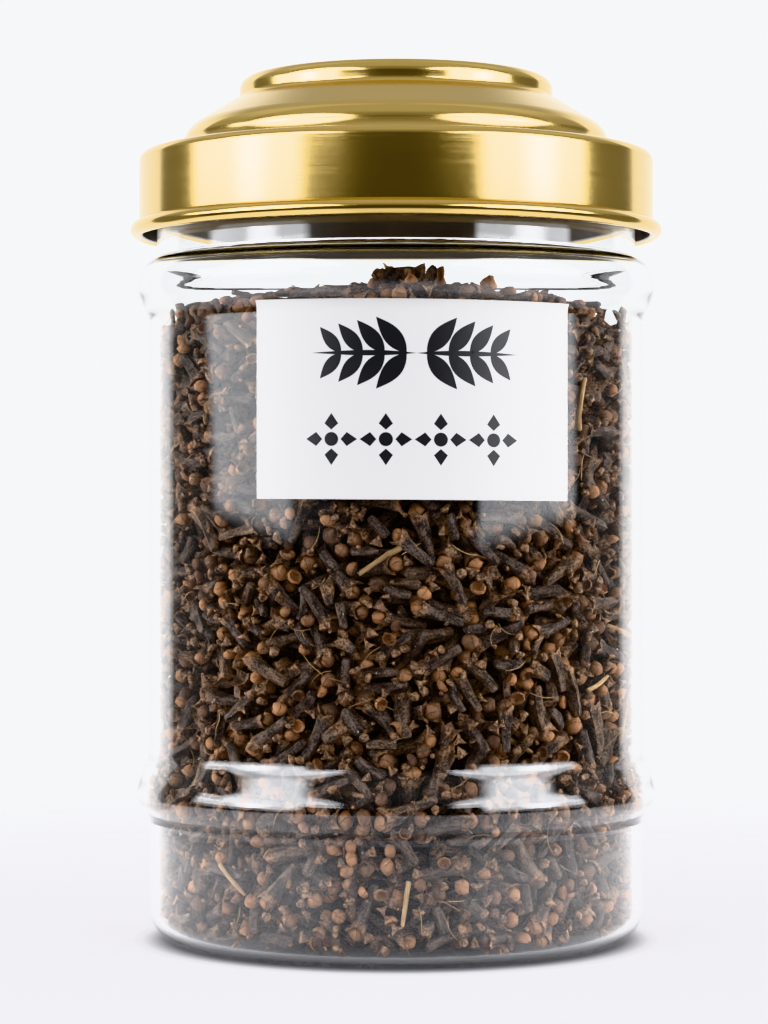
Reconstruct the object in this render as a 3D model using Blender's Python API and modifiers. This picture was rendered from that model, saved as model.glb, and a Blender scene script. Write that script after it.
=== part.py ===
"""A clear glass jar full of whole cloves, with a stepped gold lid and a curved paper label.

The jar stands on its foot ring at z = 0, turned about Z. The label faces -Y.
"""

import math
import random

import bmesh
import bpy
from mathutils import Matrix, Vector

MM = 0.001
GAP = 0.3 * MM
STEPS = 36

# Glass jar: radii from the axis and heights above the table
BODY_RADIUS = 58.9 * MM
WALL = 2.2 * MM
FLOOR_THICKNESS = 4.0 * MM
FOOT_RADIUS = 52.2 * MM
FOOT_CORNER_HEIGHT = 7.0 * MM
FOOT_RING_WIDTH = 9.0 * MM
FOOT_RECESS = 1.0 * MM
RING_RADIUS = 61.95 * MM
RING_HEIGHT = 35.0 * MM
RING_CURVE = 9.0 * MM
RING_WALL = 2.6 * MM
SHOULDER_RADIUS = 61.6 * MM
SHOULDER_HEIGHT = 154.6 * MM
SHOULDER_RISE = 7.0 * MM
SHOULDER_FALL = 8.1 * MM
NECK_RADIUS = 57.2 * MM
NECK_FILLET = 1.0 * MM

# Lid: one pressed sheet with a flat knob, a dome, a flat ledge, a band and a rolled hem
SHEET = 0.8 * MM
LID_TOP = 205.4 * MM
KNOB_RADIUS = 37.9 * MM
KNOB_EDGE = 2.6 * MM
KNOB_HEIGHT = 3.6 * MM
DOME_RADIUS = 50.6 * MM
DOME_HEIGHT = 190.6 * MM
DOME_CURVE = 6.2 * MM
DOME_FOOT_RADIUS = 51.5 * MM
LEDGE_HEIGHT = 187.2 * MM
LEDGE_EDGE = 2.0 * MM
BAND_RADIUS = 61.4 * MM
BAND_BOTTOM = 170.7 * MM
HEM_TUBE = 1.8 * MM
HEM_RADIUS = 63.55 * MM
HEM_BOTTOM = 167.1 * MM

# Label: the angles are from the front, with +X to the right
LABEL_LEFT = math.radians(-31.7)
LABEL_RIGHT = math.radians(40.1)
LABEL_BOTTOM = 104.5 * MM
LABEL_TOP = 148.8 * MM
LABEL_TILT = math.radians(0.4)
LABEL_THICKNESS = 0.35 * MM
LABEL_COLUMNS = 18

# Cloves
CLOVE_LENGTH = 13.2 * MM
CLOVE_SIDES = 4
BUD_RADIUS = 2.1 * MM
WALL_CLOVES = 152
TOP_CLOVES = 36
LOOSE_BUDS = 16
SIZE_SPREAD = (0.88, 1.08)
WALL_TIP = (-0.25, 0.1)
TOP_TIP = (-0.3, 0.8)
FILL_HEIGHT = 150.0 * MM
CORE_DEPTH = 3.5 * MM
CORE_TOP_DEPTH = 2.6 * MM
CORE_TOP_EDGE = 2.0 * MM
CORE_FOOT_EDGE = 5.0 * MM
CORE_STEPS = 36
CORE_ROWS = 15
CORE_ROUGHNESS = 1.3 * MM
CORE_TOP_RINGS = (0.22, 0.44, 0.66, 0.86)
SEED = 11

GOLDEN_TURN = math.pi * (3.0 - math.sqrt(5.0))
FACET_SHRINK = math.cos(math.pi / STEPS)
INNER_RADIUS = BODY_RADIUS - WALL
RIM_HEIGHT = LEDGE_HEIGHT - SHEET - GAP


def clear_scene():
    for obj in list(bpy.data.objects):
        bpy.data.objects.remove(obj, do_unlink=True)


def material(name, colour, roughness, metallic=0.0, transmission=0.0):
    made = bpy.data.materials.new(name)
    made.use_nodes = True
    made.diffuse_color = (*colour, 1.0)
    shader = made.node_tree.nodes["Principled BSDF"]
    shader.inputs["Base Color"].default_value = (*colour, 1.0)
    shader.inputs["Roughness"].default_value = roughness
    shader.inputs["Metallic"].default_value = metallic
    shader.inputs["Transmission Weight"].default_value = transmission
    shader.inputs["IOR"].default_value = 1.5
    return made


def arc(centre, radii, start, end, count):
    """Points (radius, height) on an ellipse, between two angles in degrees from the outward direction."""
    points = []
    for i in range(count):
        angle = math.radians(start + (end - start) * i / (count - 1))
        points.append((centre[0] + radii[0] * math.cos(angle), centre[1] + radii[1] * math.sin(angle)))
    return points


def shoulder_fall(height):
    """Outer radius of the glass where the shoulder runs down into the straight wall."""
    share = min(max((SHOULDER_HEIGHT - height) / SHOULDER_FALL, 0.0), 1.0)
    return BODY_RADIUS + (SHOULDER_RADIUS - BODY_RADIUS) * (0.5 + 0.5 * math.cos(math.pi * share))


def ring_arc(curve, wall_radius, count):
    """The bulging ring near the foot, from its upper edge down to its lower edge."""
    centre = (RING_RADIUS - RING_CURVE, RING_HEIGHT)
    half_angle = math.degrees(math.acos((wall_radius - centre[0]) / curve))
    return arc(centre, (curve, curve), half_angle, -half_angle, count)


def jar_outside():
    """From the rim down to the centre of the base."""
    shoulder_base = NECK_RADIUS + 0.4 * MM
    shoulder_radii = (SHOULDER_RADIUS - shoulder_base, SHOULDER_RISE)
    shoulder_top = SHOULDER_HEIGHT + SHOULDER_RISE
    points = [(NECK_RADIUS, shoulder_top + NECK_FILLET)]
    points += arc((shoulder_base, SHOULDER_HEIGHT), shoulder_radii, 90, 0, 5)
    for share in (0.3, 0.6, 1.0):
        height = SHOULDER_HEIGHT - share * SHOULDER_FALL
        points.append((shoulder_fall(height), height))
    points += ring_arc(RING_CURVE, BODY_RADIUS, 6)
    corner = (BODY_RADIUS - FOOT_RADIUS, FOOT_CORNER_HEIGHT)
    points += arc((FOOT_RADIUS, FOOT_CORNER_HEIGHT), corner, 0, -90, 4)
    points.append((FOOT_RADIUS - FOOT_RING_WIDTH, 0.0))
    points.append((FOOT_RADIUS - FOOT_RING_WIDTH - FOOT_RECESS, FOOT_RECESS))
    points.append((0.0, FOOT_RECESS))
    return points


def jar_inside():
    """From the centre of the floor up to the rim."""
    corner = (INNER_RADIUS - FOOT_RADIUS + WALL, FOOT_CORNER_HEIGHT - WALL)
    corner_centre = (INNER_RADIUS - corner[0], FLOOR_THICKNESS + corner[1])
    neck = NECK_RADIUS - WALL
    bulge = SHOULDER_RADIUS - WALL - neck
    points = [(0.0, FLOOR_THICKNESS)]
    points += arc(corner_centre, corner, -90, 0, 3)
    points += reversed(ring_arc(RING_CURVE - RING_WALL, INNER_RADIUS, 4))
    points.append((INNER_RADIUS, SHOULDER_HEIGHT - SHOULDER_FALL))
    points += arc((neck, SHOULDER_HEIGHT), (bulge, SHOULDER_RISE - WALL), 0, 90, 3)
    return points


def jar_profile():
    rim_radius = WALL / 2
    rim_centre = (NECK_RADIUS - rim_radius, RIM_HEIGHT - rim_radius)
    rim = arc(rim_centre, (rim_radius, rim_radius), 180, 0, 4)
    return jar_inside() + rim + jar_outside()


def lid_profile():
    """From the centre of the top down the outside, round the hem and back up the inside."""
    knob_centre = (KNOB_RADIUS - KNOB_EDGE, LID_TOP - KNOB_EDGE)
    dome_centre = (DOME_RADIUS - DOME_CURVE, DOME_HEIGHT)
    ledge_centre = (BAND_RADIUS - LEDGE_EDGE, LEDGE_HEIGHT - LEDGE_EDGE)
    hem_centre = (HEM_RADIUS - HEM_TUBE, HEM_BOTTOM + HEM_TUBE)
    points = [(0.0, LID_TOP)]
    points += arc(knob_centre, (KNOB_EDGE, KNOB_EDGE), 90, 0, 4)
    points.append((KNOB_RADIUS, LID_TOP - KNOB_HEIGHT))
    points += arc(dome_centre, (DOME_CURVE, DOME_CURVE), 72, 0, 4)
    points.append((DOME_FOOT_RADIUS, LEDGE_HEIGHT))
    points += arc(ledge_centre, (LEDGE_EDGE, LEDGE_EDGE), 90, 0, 3)
    points.append((BAND_RADIUS, BAND_BOTTOM))
    points += arc(hem_centre, (HEM_TUBE, HEM_TUBE), 60, -90, 4)
    inner_edge = LEDGE_EDGE - SHEET
    points.append((BAND_RADIUS - SHEET, HEM_BOTTOM + SHEET))
    points += arc(ledge_centre, (inner_edge, inner_edge), 0, 90, 2)
    points.append((DOME_FOOT_RADIUS - SHEET, LEDGE_HEIGHT - SHEET))
    points += arc(dome_centre, (DOME_CURVE - SHEET, DOME_CURVE - SHEET), 0, 72, 3)
    points.append((KNOB_RADIUS - SHEET, LID_TOP - KNOB_HEIGHT - SHEET))
    points.append((KNOB_RADIUS - SHEET, LID_TOP - KNOB_EDGE))
    points.append((knob_centre[0], LID_TOP - SHEET))
    points.append((0.0, LID_TOP - SHEET))
    return points


def turned(name, profile, steps, collection, finish):
    """A profile of (radius, height) points, turned about Z by a Screw modifier."""
    mesh = bpy.data.meshes.new(name)
    edges = [(i, i + 1) for i in range(len(profile) - 1)]
    mesh.from_pydata([(radius, 0.0, height) for radius, height in profile], edges, [])
    obj = bpy.data.objects.new(name, mesh)
    collection.objects.link(obj)
    screw = obj.modifiers.new("Turn", "SCREW")
    screw.axis = "Z"
    screw.angle = math.tau
    screw.steps = steps
    screw.render_steps = steps
    screw.use_merge_vertices = True
    screw.merge_threshold = 0.00001
    screw.use_smooth_shade = True
    mesh.materials.append(finish)
    return obj


def applied(obj):
    """The object as its modifiers leave it, with the modifiers gone."""
    graph = bpy.context.evaluated_depsgraph_get()
    made = bpy.data.meshes.new_from_object(obj.evaluated_get(graph))
    obj.modifiers.clear()
    obj.data = made
    return obj


def make_label(collection):
    """A flat sheet bent round the glass, standing one gap off it, and then given its thickness."""
    bpy.ops.mesh.primitive_grid_add(x_subdivisions=LABEL_COLUMNS, y_subdivisions=4, size=1.0)
    label = bpy.context.object
    label.name = "label"
    for other in label.users_collection:
        other.objects.unlink(label)
    collection.objects.link(label)
    middle = (LABEL_LEFT + LABEL_RIGHT) / 2
    for vertex in label.data.vertices:
        angle = middle + vertex.co.x * (LABEL_RIGHT - LABEL_LEFT)
        level = LABEL_BOTTOM + (vertex.co.y + 0.5) * (LABEL_TOP - LABEL_BOTTOM)
        radius = shoulder_fall(level) + GAP
        height = level - (angle - middle) * radius * math.tan(LABEL_TILT)
        vertex.co = (radius * math.sin(angle), -radius * math.cos(angle), height)
    paper = label.modifiers.new("Thickness", "SOLIDIFY")
    paper.thickness = LABEL_THICKNESS
    paper.offset = 1.0
    label.data.materials.append(material("label_paper", (0.86, 0.87, 0.88), 0.55))
    return label


def inner_radius(height):
    """Radius that a piece inside the jar may reach, with the wall's facets and one gap taken off."""
    radius = INNER_RADIUS
    corner_drop = FOOT_CORNER_HEIGHT + FLOOR_THICKNESS - WALL - height
    if corner_drop > 0.0:
        radius -= corner_drop * (INNER_RADIUS - FOOT_RADIUS + WALL) / (FOOT_CORNER_HEIGHT - WALL)
    return radius * FACET_SHRINK - GAP


def clove_shape(name, profile):
    """A few-sided clove with its length along Z, as a plain mesh."""
    scratch = bpy.context.scene.collection
    obj = applied(turned(name, profile, CLOVE_SIDES, scratch, bpy.data.materials["cloves"]))
    shape = obj.data
    bpy.data.objects.remove(obj, do_unlink=True)
    cleaned = bmesh.new()
    cleaned.from_mesh(shape)
    bmesh.ops.remove_doubles(cleaned, verts=cleaned.verts, dist=0.01 * MM)
    bmesh.ops.recalc_face_normals(cleaned, faces=cleaned.faces)
    cleaned.to_mesh(shape)
    cleaned.free()
    shape.shade_flat()
    return shape


def whole_clove():
    """Stem, flared calyx and round bud, centred on its length."""
    half = CLOVE_LENGTH / 2
    lip = half - BUD_RADIUS
    return clove_shape("whole_clove", [
        (0.0, half),
        (BUD_RADIUS, lip),
        (0.68 * BUD_RADIUS, lip - 1.7 * BUD_RADIUS),
        (0.55 * BUD_RADIUS, -half),
        (0.0, -half),
    ])


def loose_bud():
    bud = bmesh.new()
    bmesh.ops.create_icosphere(bud, subdivisions=1, radius=BUD_RADIUS)
    shape = bpy.data.meshes.new("loose_bud")
    bud.to_mesh(shape)
    bud.free()
    return shape


def turned_to(direction, place, draw):
    """Matrix that lays a piece's length along a direction at a place, with its size and spin drawn."""
    rotation = direction.to_track_quat("Z", "Y").to_matrix().to_4x4()
    scale = Matrix.Scale(draw.uniform(*SIZE_SPREAD), 4)
    spin = Matrix.Rotation(draw.uniform(0.0, math.tau), 4, "Z")
    return Matrix.Translation(place) @ rotation @ spin @ scale


def pressed_in(shape, matrix):
    """The matrix moved straight towards the axis until every corner of the piece is clear of the glass."""
    outward = Vector((matrix.translation.x, matrix.translation.y, 0.0)).normalized()
    for _ in range(12):
        excess = 0.0
        for vertex in shape.vertices:
            corner = matrix @ vertex.co
            excess = max(excess, math.hypot(corner.x, corner.y) - inner_radius(corner.z))
        if excess <= 0.0:
            break
        matrix = Matrix.Translation(-outward * (excess + 0.01 * MM)) @ matrix
    return matrix


def place_on_wall(shape, share, turn, draw, collection):
    """Lays a piece flat against the glass at a share of the fill height."""
    outward = Vector((math.sin(turn), -math.cos(turn), 0.0))
    sideways = Vector((math.cos(turn), math.sin(turn), 0.0))
    lean = draw.uniform(0.0, math.tau)
    direction = sideways * math.cos(lean) + Vector((0.0, 0.0, math.sin(lean)))
    direction += outward * draw.uniform(*WALL_TIP)
    lowest = FLOOR_THICKNESS + CLOVE_LENGTH * 0.55
    highest = FILL_HEIGHT - CLOVE_LENGTH * 0.3
    height = lowest + share * (highest - lowest)
    place = outward * INNER_RADIUS + Vector((0.0, 0.0, height))
    add_piece(shape, pressed_in(shape, turned_to(direction, place, draw)), collection)


def place_on_top(shape, share, turn, draw, collection):
    """Lays a piece on the level top, tipped a little, at a share of the way out from the axis."""
    radius = math.sqrt(share) * (INNER_RADIUS - BUD_RADIUS)
    lean = draw.uniform(0.0, math.tau)
    direction = Vector((math.cos(lean), math.sin(lean), draw.uniform(*TOP_TIP)))
    height = FILL_HEIGHT - CORE_TOP_DEPTH + draw.uniform(0.0, BUD_RADIUS)
    place = Vector((radius * math.sin(turn), -radius * math.cos(turn), height))
    add_piece(shape, pressed_in(shape, turned_to(direction, place, draw)), collection)


def add_piece(shape, matrix, collection):
    obj = bpy.data.objects.new(shape.name, shape)
    obj.matrix_world = matrix
    collection.objects.link(obj)


def heap_core(draw, collection):
    """The heap inside its outer layer: a turned solid whose surface is pushed in and out at random."""
    radius = INNER_RADIUS - CORE_DEPTH
    top = FILL_HEIGHT - CORE_TOP_DEPTH
    bottom = FLOOR_THICKNESS + 2 * CORE_ROUGHNESS
    side_top = top - CORE_TOP_EDGE
    side_step = (side_top - bottom - CORE_FOOT_EDGE) / (CORE_ROWS - 1)
    profile = [(0.0, top)] + [(radius * share, top) for share in CORE_TOP_RINGS]
    profile += [(radius, side_top - side_step * i) for i in range(CORE_ROWS)]
    profile += [(radius - CORE_FOOT_EDGE, bottom), (0.0, bottom)]
    core = applied(turned("clove_heap", profile, CORE_STEPS, collection, bpy.data.materials["cloves"]))
    for vertex in core.data.vertices:
        push = draw.uniform(-CORE_ROUGHNESS, CORE_ROUGHNESS)
        outward = Vector((vertex.co.x, vertex.co.y, 0.0)) / radius
        if vertex.co.z > side_top:
            outward = Vector((0.0, 0.0, 1.0))
        if vertex.co.z > bottom:
            vertex.co += outward * push
    core.data.shade_flat()
    return core


def without_scrap(mesh):
    """Keeps the largest connected body of a mesh and drops the rest."""
    body = bmesh.new()
    body.from_mesh(mesh)
    unseen = set(body.verts)
    groups = []
    while unseen:
        group = {unseen.pop()}
        edge_of_group = list(group)
        while edge_of_group:
            vertex = edge_of_group.pop()
            for edge in vertex.link_edges:
                other = edge.other_vert(vertex)
                if other in unseen:
                    unseen.remove(other)
                    group.add(other)
                    edge_of_group.append(other)
        groups.append(group)
    groups.sort(key=len, reverse=True)
    for group in groups[1:]:
        bmesh.ops.delete(body, geom=list(group), context="VERTS")
    body.to_mesh(mesh)
    body.free()


def make_clove_heap(collection):
    """The core with cloves and loose buds fused on where they show: against the glass and on top."""
    draw = random.Random(SEED)
    core = heap_core(draw, collection)
    pieces = bpy.data.collections.new("pieces")
    bpy.context.scene.collection.children.link(pieces)
    clove, bud = whole_clove(), loose_bud()
    for i in range(WALL_CLOVES):
        place_on_wall(clove, (i + 0.5) / WALL_CLOVES, i * GOLDEN_TURN, draw, pieces)
    for i in range(TOP_CLOVES):
        place_on_top(clove, (i + 0.5) / TOP_CLOVES, i * GOLDEN_TURN, draw, pieces)
    for i in range(LOOSE_BUDS):
        place_on_wall(bud, (i + 0.5) / LOOSE_BUDS, (i + 0.37) * GOLDEN_TURN, draw, pieces)
    union = core.modifiers.new("Fuse", "BOOLEAN")
    union.operation = "UNION"
    union.operand_type = "COLLECTION"
    union.collection = pieces
    union.solver = "MANIFOLD"
    applied(core)
    for obj in list(pieces.objects):
        bpy.data.objects.remove(obj, do_unlink=True)
    bpy.data.collections.remove(pieces)
    without_scrap(core.data)
    return core


def main():
    clear_scene()
    parts = bpy.data.collections.new("clove_jar")
    bpy.context.scene.collection.children.link(parts)
    material("cloves", (0.055, 0.034, 0.024), 0.8)
    glass = material("clear_glass", (0.95, 0.97, 0.98), 0.03, transmission=1.0)
    gold = material("gold_metal", (0.80, 0.62, 0.36), 0.3, metallic=1.0)
    turned("jar", jar_profile(), STEPS, parts, glass)
    turned("lid", lid_profile(), STEPS, parts, gold)
    make_label(parts)
    make_clove_heap(parts)


main()
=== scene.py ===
"""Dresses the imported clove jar: clear glass, gold lid, paper label and the loose cloves inside.

Lengths are in metres, in the frame of the CAD model: the jar stands on z = 0, turned about Z,
and its label faces -Y. Each piece is built in place, so every object sits at the origin.
"""

import math

import bmesh
import bpy
import numpy as np
from bpy.props import FloatProperty, FloatVectorProperty, IntProperty, PointerProperty
from bpy.types import Operator, Panel, PropertyGroup
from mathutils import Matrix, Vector


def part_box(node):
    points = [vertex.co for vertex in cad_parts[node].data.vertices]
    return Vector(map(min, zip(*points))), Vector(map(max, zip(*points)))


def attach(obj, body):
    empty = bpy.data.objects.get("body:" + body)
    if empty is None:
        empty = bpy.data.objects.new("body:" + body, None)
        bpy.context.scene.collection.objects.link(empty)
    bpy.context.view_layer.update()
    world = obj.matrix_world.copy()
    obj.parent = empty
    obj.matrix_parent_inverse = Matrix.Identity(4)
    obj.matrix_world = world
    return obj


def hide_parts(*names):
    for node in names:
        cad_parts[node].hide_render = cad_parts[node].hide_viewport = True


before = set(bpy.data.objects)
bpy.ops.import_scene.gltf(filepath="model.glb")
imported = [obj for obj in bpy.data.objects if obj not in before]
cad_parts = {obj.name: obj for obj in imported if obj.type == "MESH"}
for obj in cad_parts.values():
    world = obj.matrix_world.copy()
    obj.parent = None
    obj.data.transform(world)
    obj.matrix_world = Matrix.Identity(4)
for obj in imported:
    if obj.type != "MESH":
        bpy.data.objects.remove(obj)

bl_info = {
    "name": "Clove Jar",
    "version": (1, 0, 0),
    "blender": (4, 5, 0),
    "location": "3D View > Sidebar > Clove Jar",
    "description": "Builds a glass jar full of whole cloves, with a gold lid and a paper label",
    "category": "Add Mesh",
}

MM = 0.001
BODY = "root"
LID_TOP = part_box("lid")[1].z
SHARP_EDGE = math.radians(40)
SHAPE_CREASE = math.radians(65)
SHOULDER_INSET = 0.4 * MM
STRIP_WIDTH = 1.2 * MM
FILLET_TURN = (180, 262)
SHOULDER_TURN = 78
GRAIN_SCALE = 1900.0
LUMP_SCALE = 260.0
GLASS_IOR = 1.54


def length(name, description, millimetres, lowest=0.0):
    return FloatProperty(
        name=name,
        description=description,
        default=millimetres * MM,
        min=lowest,
        precision=5,
        unit="LENGTH",
        subtype="DISTANCE",
    )


def angle(name, description, degrees):
    return FloatProperty(
        name=name, description=description, default=math.radians(degrees), unit="ROTATION", subtype="ANGLE"
    )


def colour(name, description, value):
    return FloatVectorProperty(
        name=name, description=description, default=value, size=3, min=0.0, max=1.0, subtype="COLOR"
    )


def share(name, description, value):
    return FloatProperty(
        name=name, description=description, default=value, min=0.0, max=1.0, subtype="FACTOR"
    )


def count(name, description, value):
    return IntProperty(name=name, description=description, default=value, min=0)


class GlassSettings(PropertyGroup):
    """Sizes and colour of the glass jar"""

    body_radius: length("Body Radius", "Outer radius of the straight wall", 58.9)
    wall: length("Wall", "Thickness of the glass", 2.2)
    floor_thickness: length("Floor", "Height of the inner floor above the table", 2.4)
    foot_radius: length("Foot Radius", "Radius at which the lower corner begins to rise", 52.2)
    foot_corner: length("Foot Corner", "Height of the rounded lower corner", 7.0)
    foot_ring: length("Foot Ring", "Width of the flat ring that the jar stands on", 9.0)
    foot_recess: length("Foot Recess", "How far the middle of the base is raised", 1.0)
    ring_radius: length("Ring Radius", "Radius at the crest of the bulging ring", 61.95)
    ring_height: length("Ring Height", "Height of the crest of the bulging ring", 35.0)
    ring_rise: length("Ring Rise", "Height from the crest of the ring up to the straight wall", 11.0)
    ring_fall: length("Ring Fall", "Height from the crest of the ring down to the straight wall", 6.8)
    shoulder_radius: length("Shoulder Radius", "Radius at the crest of the shoulder", 61.6)
    shoulder_height: length("Shoulder Height", "Height of the crest of the shoulder", 154.6)
    shoulder_rise: length("Shoulder Rise", "Height from that crest up to the neck", 7.0)
    shoulder_fall: length("Shoulder Fall", "Height over which the crest runs into the wall", 8.1)
    neck_radius: length("Neck Radius", "Outer radius of the neck", 57.2)
    neck_fillet: length("Neck Fillet", "Fillet between shoulder and neck", 1.0)
    rim_height: length("Rim Height", "Height of the rim inside the lid", 186.1)
    tint: colour("Tint", "Colour of the glass", (0.975, 0.985, 0.985))
    steps: count("Steps", "Steps of the turned shape", 192)


class LidSettings(PropertyGroup):
    """Sizes and colours of the lid"""

    sheet: length("Sheet", "Thickness of the pressed metal", 0.8)
    knob_radius: length("Knob Radius", "Radius of the flat top", 37.5)
    knob_edge: length("Knob Edge", "Rounding of the top's edge", 2.9)
    knob_height: length("Knob Height", "Height of the top above the dome", 5.8)
    knob_hollow: length("Knob Hollow", "Radius of the hollow at the top's foot", 1.5)
    dome_radius: length("Dome Radius", "Radius of the dome's side", 50.6)
    dome_height: length("Dome Height", "Height at which the dome's side is upright", 190.0)
    dome_curve: length("Dome Curve", "Width of the dome's rounded section", 9.0)
    dome_rise: length("Dome Rise", "Height of the dome's rounded section", 6.0)
    dome_foot: length("Dome Foot", "Radius where the dome meets the ledge", 51.5)
    ledge_height: length("Ledge Height", "Height of the flat ledge", 187.2)
    ledge_edge: length("Ledge Edge", "Rounding of the ledge's edge", 2.0)
    band_radius: length("Band Radius", "Radius of the upright band", 61.4)
    band_bottom: length("Band Bottom", "Lower end of the band", 170.7)
    hem_tube: length("Hem", "Radius of the rolled hem's section", 1.8)
    hem_radius: length("Hem Radius", "Outer radius of the rolled hem", 63.52)
    hem_bottom: length("Hem Bottom", "Lowest height of the hem", 167.1)
    gold: colour("Gold", "Colour of the metal", (0.87, 0.628, 0.22))
    # The inside's colour: a greyer metal, painted darker as shade.
    shaded_inside: colour("Shaded Inside", "Colour of the lid's inside", (0.30, 0.265, 0.24))
    polish: share("Polish", "Roughness of the knob and the dome", 0.115)
    satin: share("Satin", "Roughness of the brushed band", 0.14)
    steps: count("Steps", "Steps of the turned shape", 192)


class LabelSettings(PropertyGroup):
    """Sizes and colours of the label"""

    left: angle("Left", "Angle of the left edge from the front", -31.7)
    right: angle("Right", "Angle of the right edge from the front", 40.1)
    tilt: angle("Tilt", "How far the label is stuck on askew", 0.4)
    bottom: length("Bottom", "Height of the lower edge", 104.5)
    top: length("Top", "Height of the upper edge", 148.8)
    gap: length("Gap", "Distance from the glass", 0.3)
    thickness: length("Thickness", "Thickness of the paper", 0.35)
    paper: colour("Paper", "Colour of the paper", (0.60, 0.592, 0.585))
    ink: colour("Ink", "Colour of the print", (0.012, 0.012, 0.013))


class CloveSettings(PropertyGroup):
    """Sizes, numbers and colours of the cloves"""

    clove_length: length("Clove Length", "Length of a whole clove", 13.2)
    bud_radius: length("Bud Radius", "Radius of the round bud", 1.85)
    size_spread: share("Size Spread", "How much the sizes vary", 0.13)
    fill_height: length("Fill Height", "Height of the heap", 147.2)
    fill_swing: length("Fill Swing", "How much the top of the heap rises and falls", 3.4)
    mound: length("Mound", "How much higher the heap is in the middle", 10.5)
    depth: length("Depth", "Thickness of the layer of loose pieces", 8.0)
    whole_cloves: count("Whole Cloves", "Whole cloves against the glass", 1250)
    open_cloves: count("Open Cloves", "Cloves without their bud against the glass", 1500)
    short_cloves: count("Short Cloves", "Upper ends of broken cloves against the glass", 700)
    stems: count("Stems", "Broken stems against the glass", 700)
    buds: count("Buds", "Loose buds against the glass", 260)
    caps: count("Caps", "Petal caps against the glass", 520)
    chips: count("Chips", "Angular chips against the glass", 1500)
    crumbs: count("Crumbs", "Crumbs against the glass", 650)
    hairs: count("Hairs", "Fine curved threads against the glass", 220)
    twigs: count("Twigs", "Straight twigs against the glass", 34)
    top_pieces: count("Top Pieces", "Pieces on top of the heap", 620)
    floor_pieces: count("Floor Pieces", "Pieces on the floor of the jar", 330)
    seed: count("Seed", "Seed of everything random in the heap", 5)
    # Stem Dark is the stems' own dark brown, deepened as painted shade in the wrinkles.
    bark_dark: colour("Stem Dark", "Colour in the stems' wrinkles", (0.013, 0.0100, 0.0088))
    bark_light: colour("Stem Light", "Colour on the stems' ridges", (0.130, 0.092, 0.074))
    bud_dark: colour("Bud Dark", "Darker colour of the buds", (0.060, 0.036, 0.026))
    bud_light: colour("Bud Light", "Lighter colour of the buds", (0.330, 0.164, 0.080))
    straw: colour("Straw", "Colour of the twigs", (0.50, 0.32, 0.15))


class StageSettings(PropertyGroup):
    """Floor, light and camera"""

    floor_radius: length("Floor Radius", "Radius of the floor", 460.0)
    floor_fade: length("Floor Fade", "Distance at which the floor begins to fade away", 190.0)
    floor_paint: colour("Floor Colour", "Colour of the floor", (0.36, 0.355, 0.372))
    floor_glow: FloatProperty(
        name="Floor Glow", description="Light that the floor gives off", default=1.20, min=0.0
    )
    background: colour("Background", "Colour of the background", (0.800, 0.8075, 0.8235))
    camera_side: length("Camera Side", "How far the camera stands to the side", -2.88, lowest=-1.0)
    camera_distance: length("Camera Distance", "Distance of the camera from the jar's axis", 731.0)
    camera_height: length("Camera Height", "Height of the camera above the table", 101.8)
    side_light: FloatProperty(
        name="Side Light", description="Power of each side light", default=30.0, unit="POWER"
    )
    lens: FloatProperty(
        name="Lens", description="Focal length in millimetres", default=107.2, subtype="DISTANCE_CAMERA"
    )


class CloveJarSettings(PropertyGroup):
    """All the settings of the jar"""

    glass: PointerProperty(type=GlassSettings)
    lid: PointerProperty(type=LidSettings)
    label: PointerProperty(type=LabelSettings)
    cloves: PointerProperty(type=CloveSettings)
    stage: PointerProperty(type=StageSettings)


def arithmetic(operation, swapped=False):
    """A method of Value that adds a Math node of one kind."""

    def method(self, *others):
        values = (*others, self) if swapped else (self, *others)
        return self.nodes.maths(operation, *values)

    return method


class Value:
    """An output of a node, with arithmetic that adds Math nodes to the same tree."""

    def __init__(self, nodes, socket):
        self.nodes = nodes
        self.socket = socket

    __add__ = __radd__ = arithmetic("ADD")
    __sub__ = arithmetic("SUBTRACT")
    __rsub__ = arithmetic("SUBTRACT", swapped=True)
    __mul__ = __rmul__ = arithmetic("MULTIPLY")
    __truediv__ = arithmetic("DIVIDE")
    __pow__ = arithmetic("POWER")
    __abs__ = arithmetic("ABSOLUTE")

    def output(self, name):
        """Another output of the same node."""
        return Value(self.nodes, self.socket.node.outputs[name])

    def rising(self, low, high):
        """0 below low, 1 above high and smooth in between; it falls where low is the larger."""
        limits = {"Value": self, "From Min": low, "From Max": high}
        return self.nodes.add("ShaderNodeMapRange", {"interpolation_type": "SMOOTHSTEP"}, limits)

    def between(self, low, high, soft):
        """1 from low to high and 0 outside, with soft edges."""
        return self.rising(low - soft, low + soft) * self.rising(high + soft, high - soft)


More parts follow.
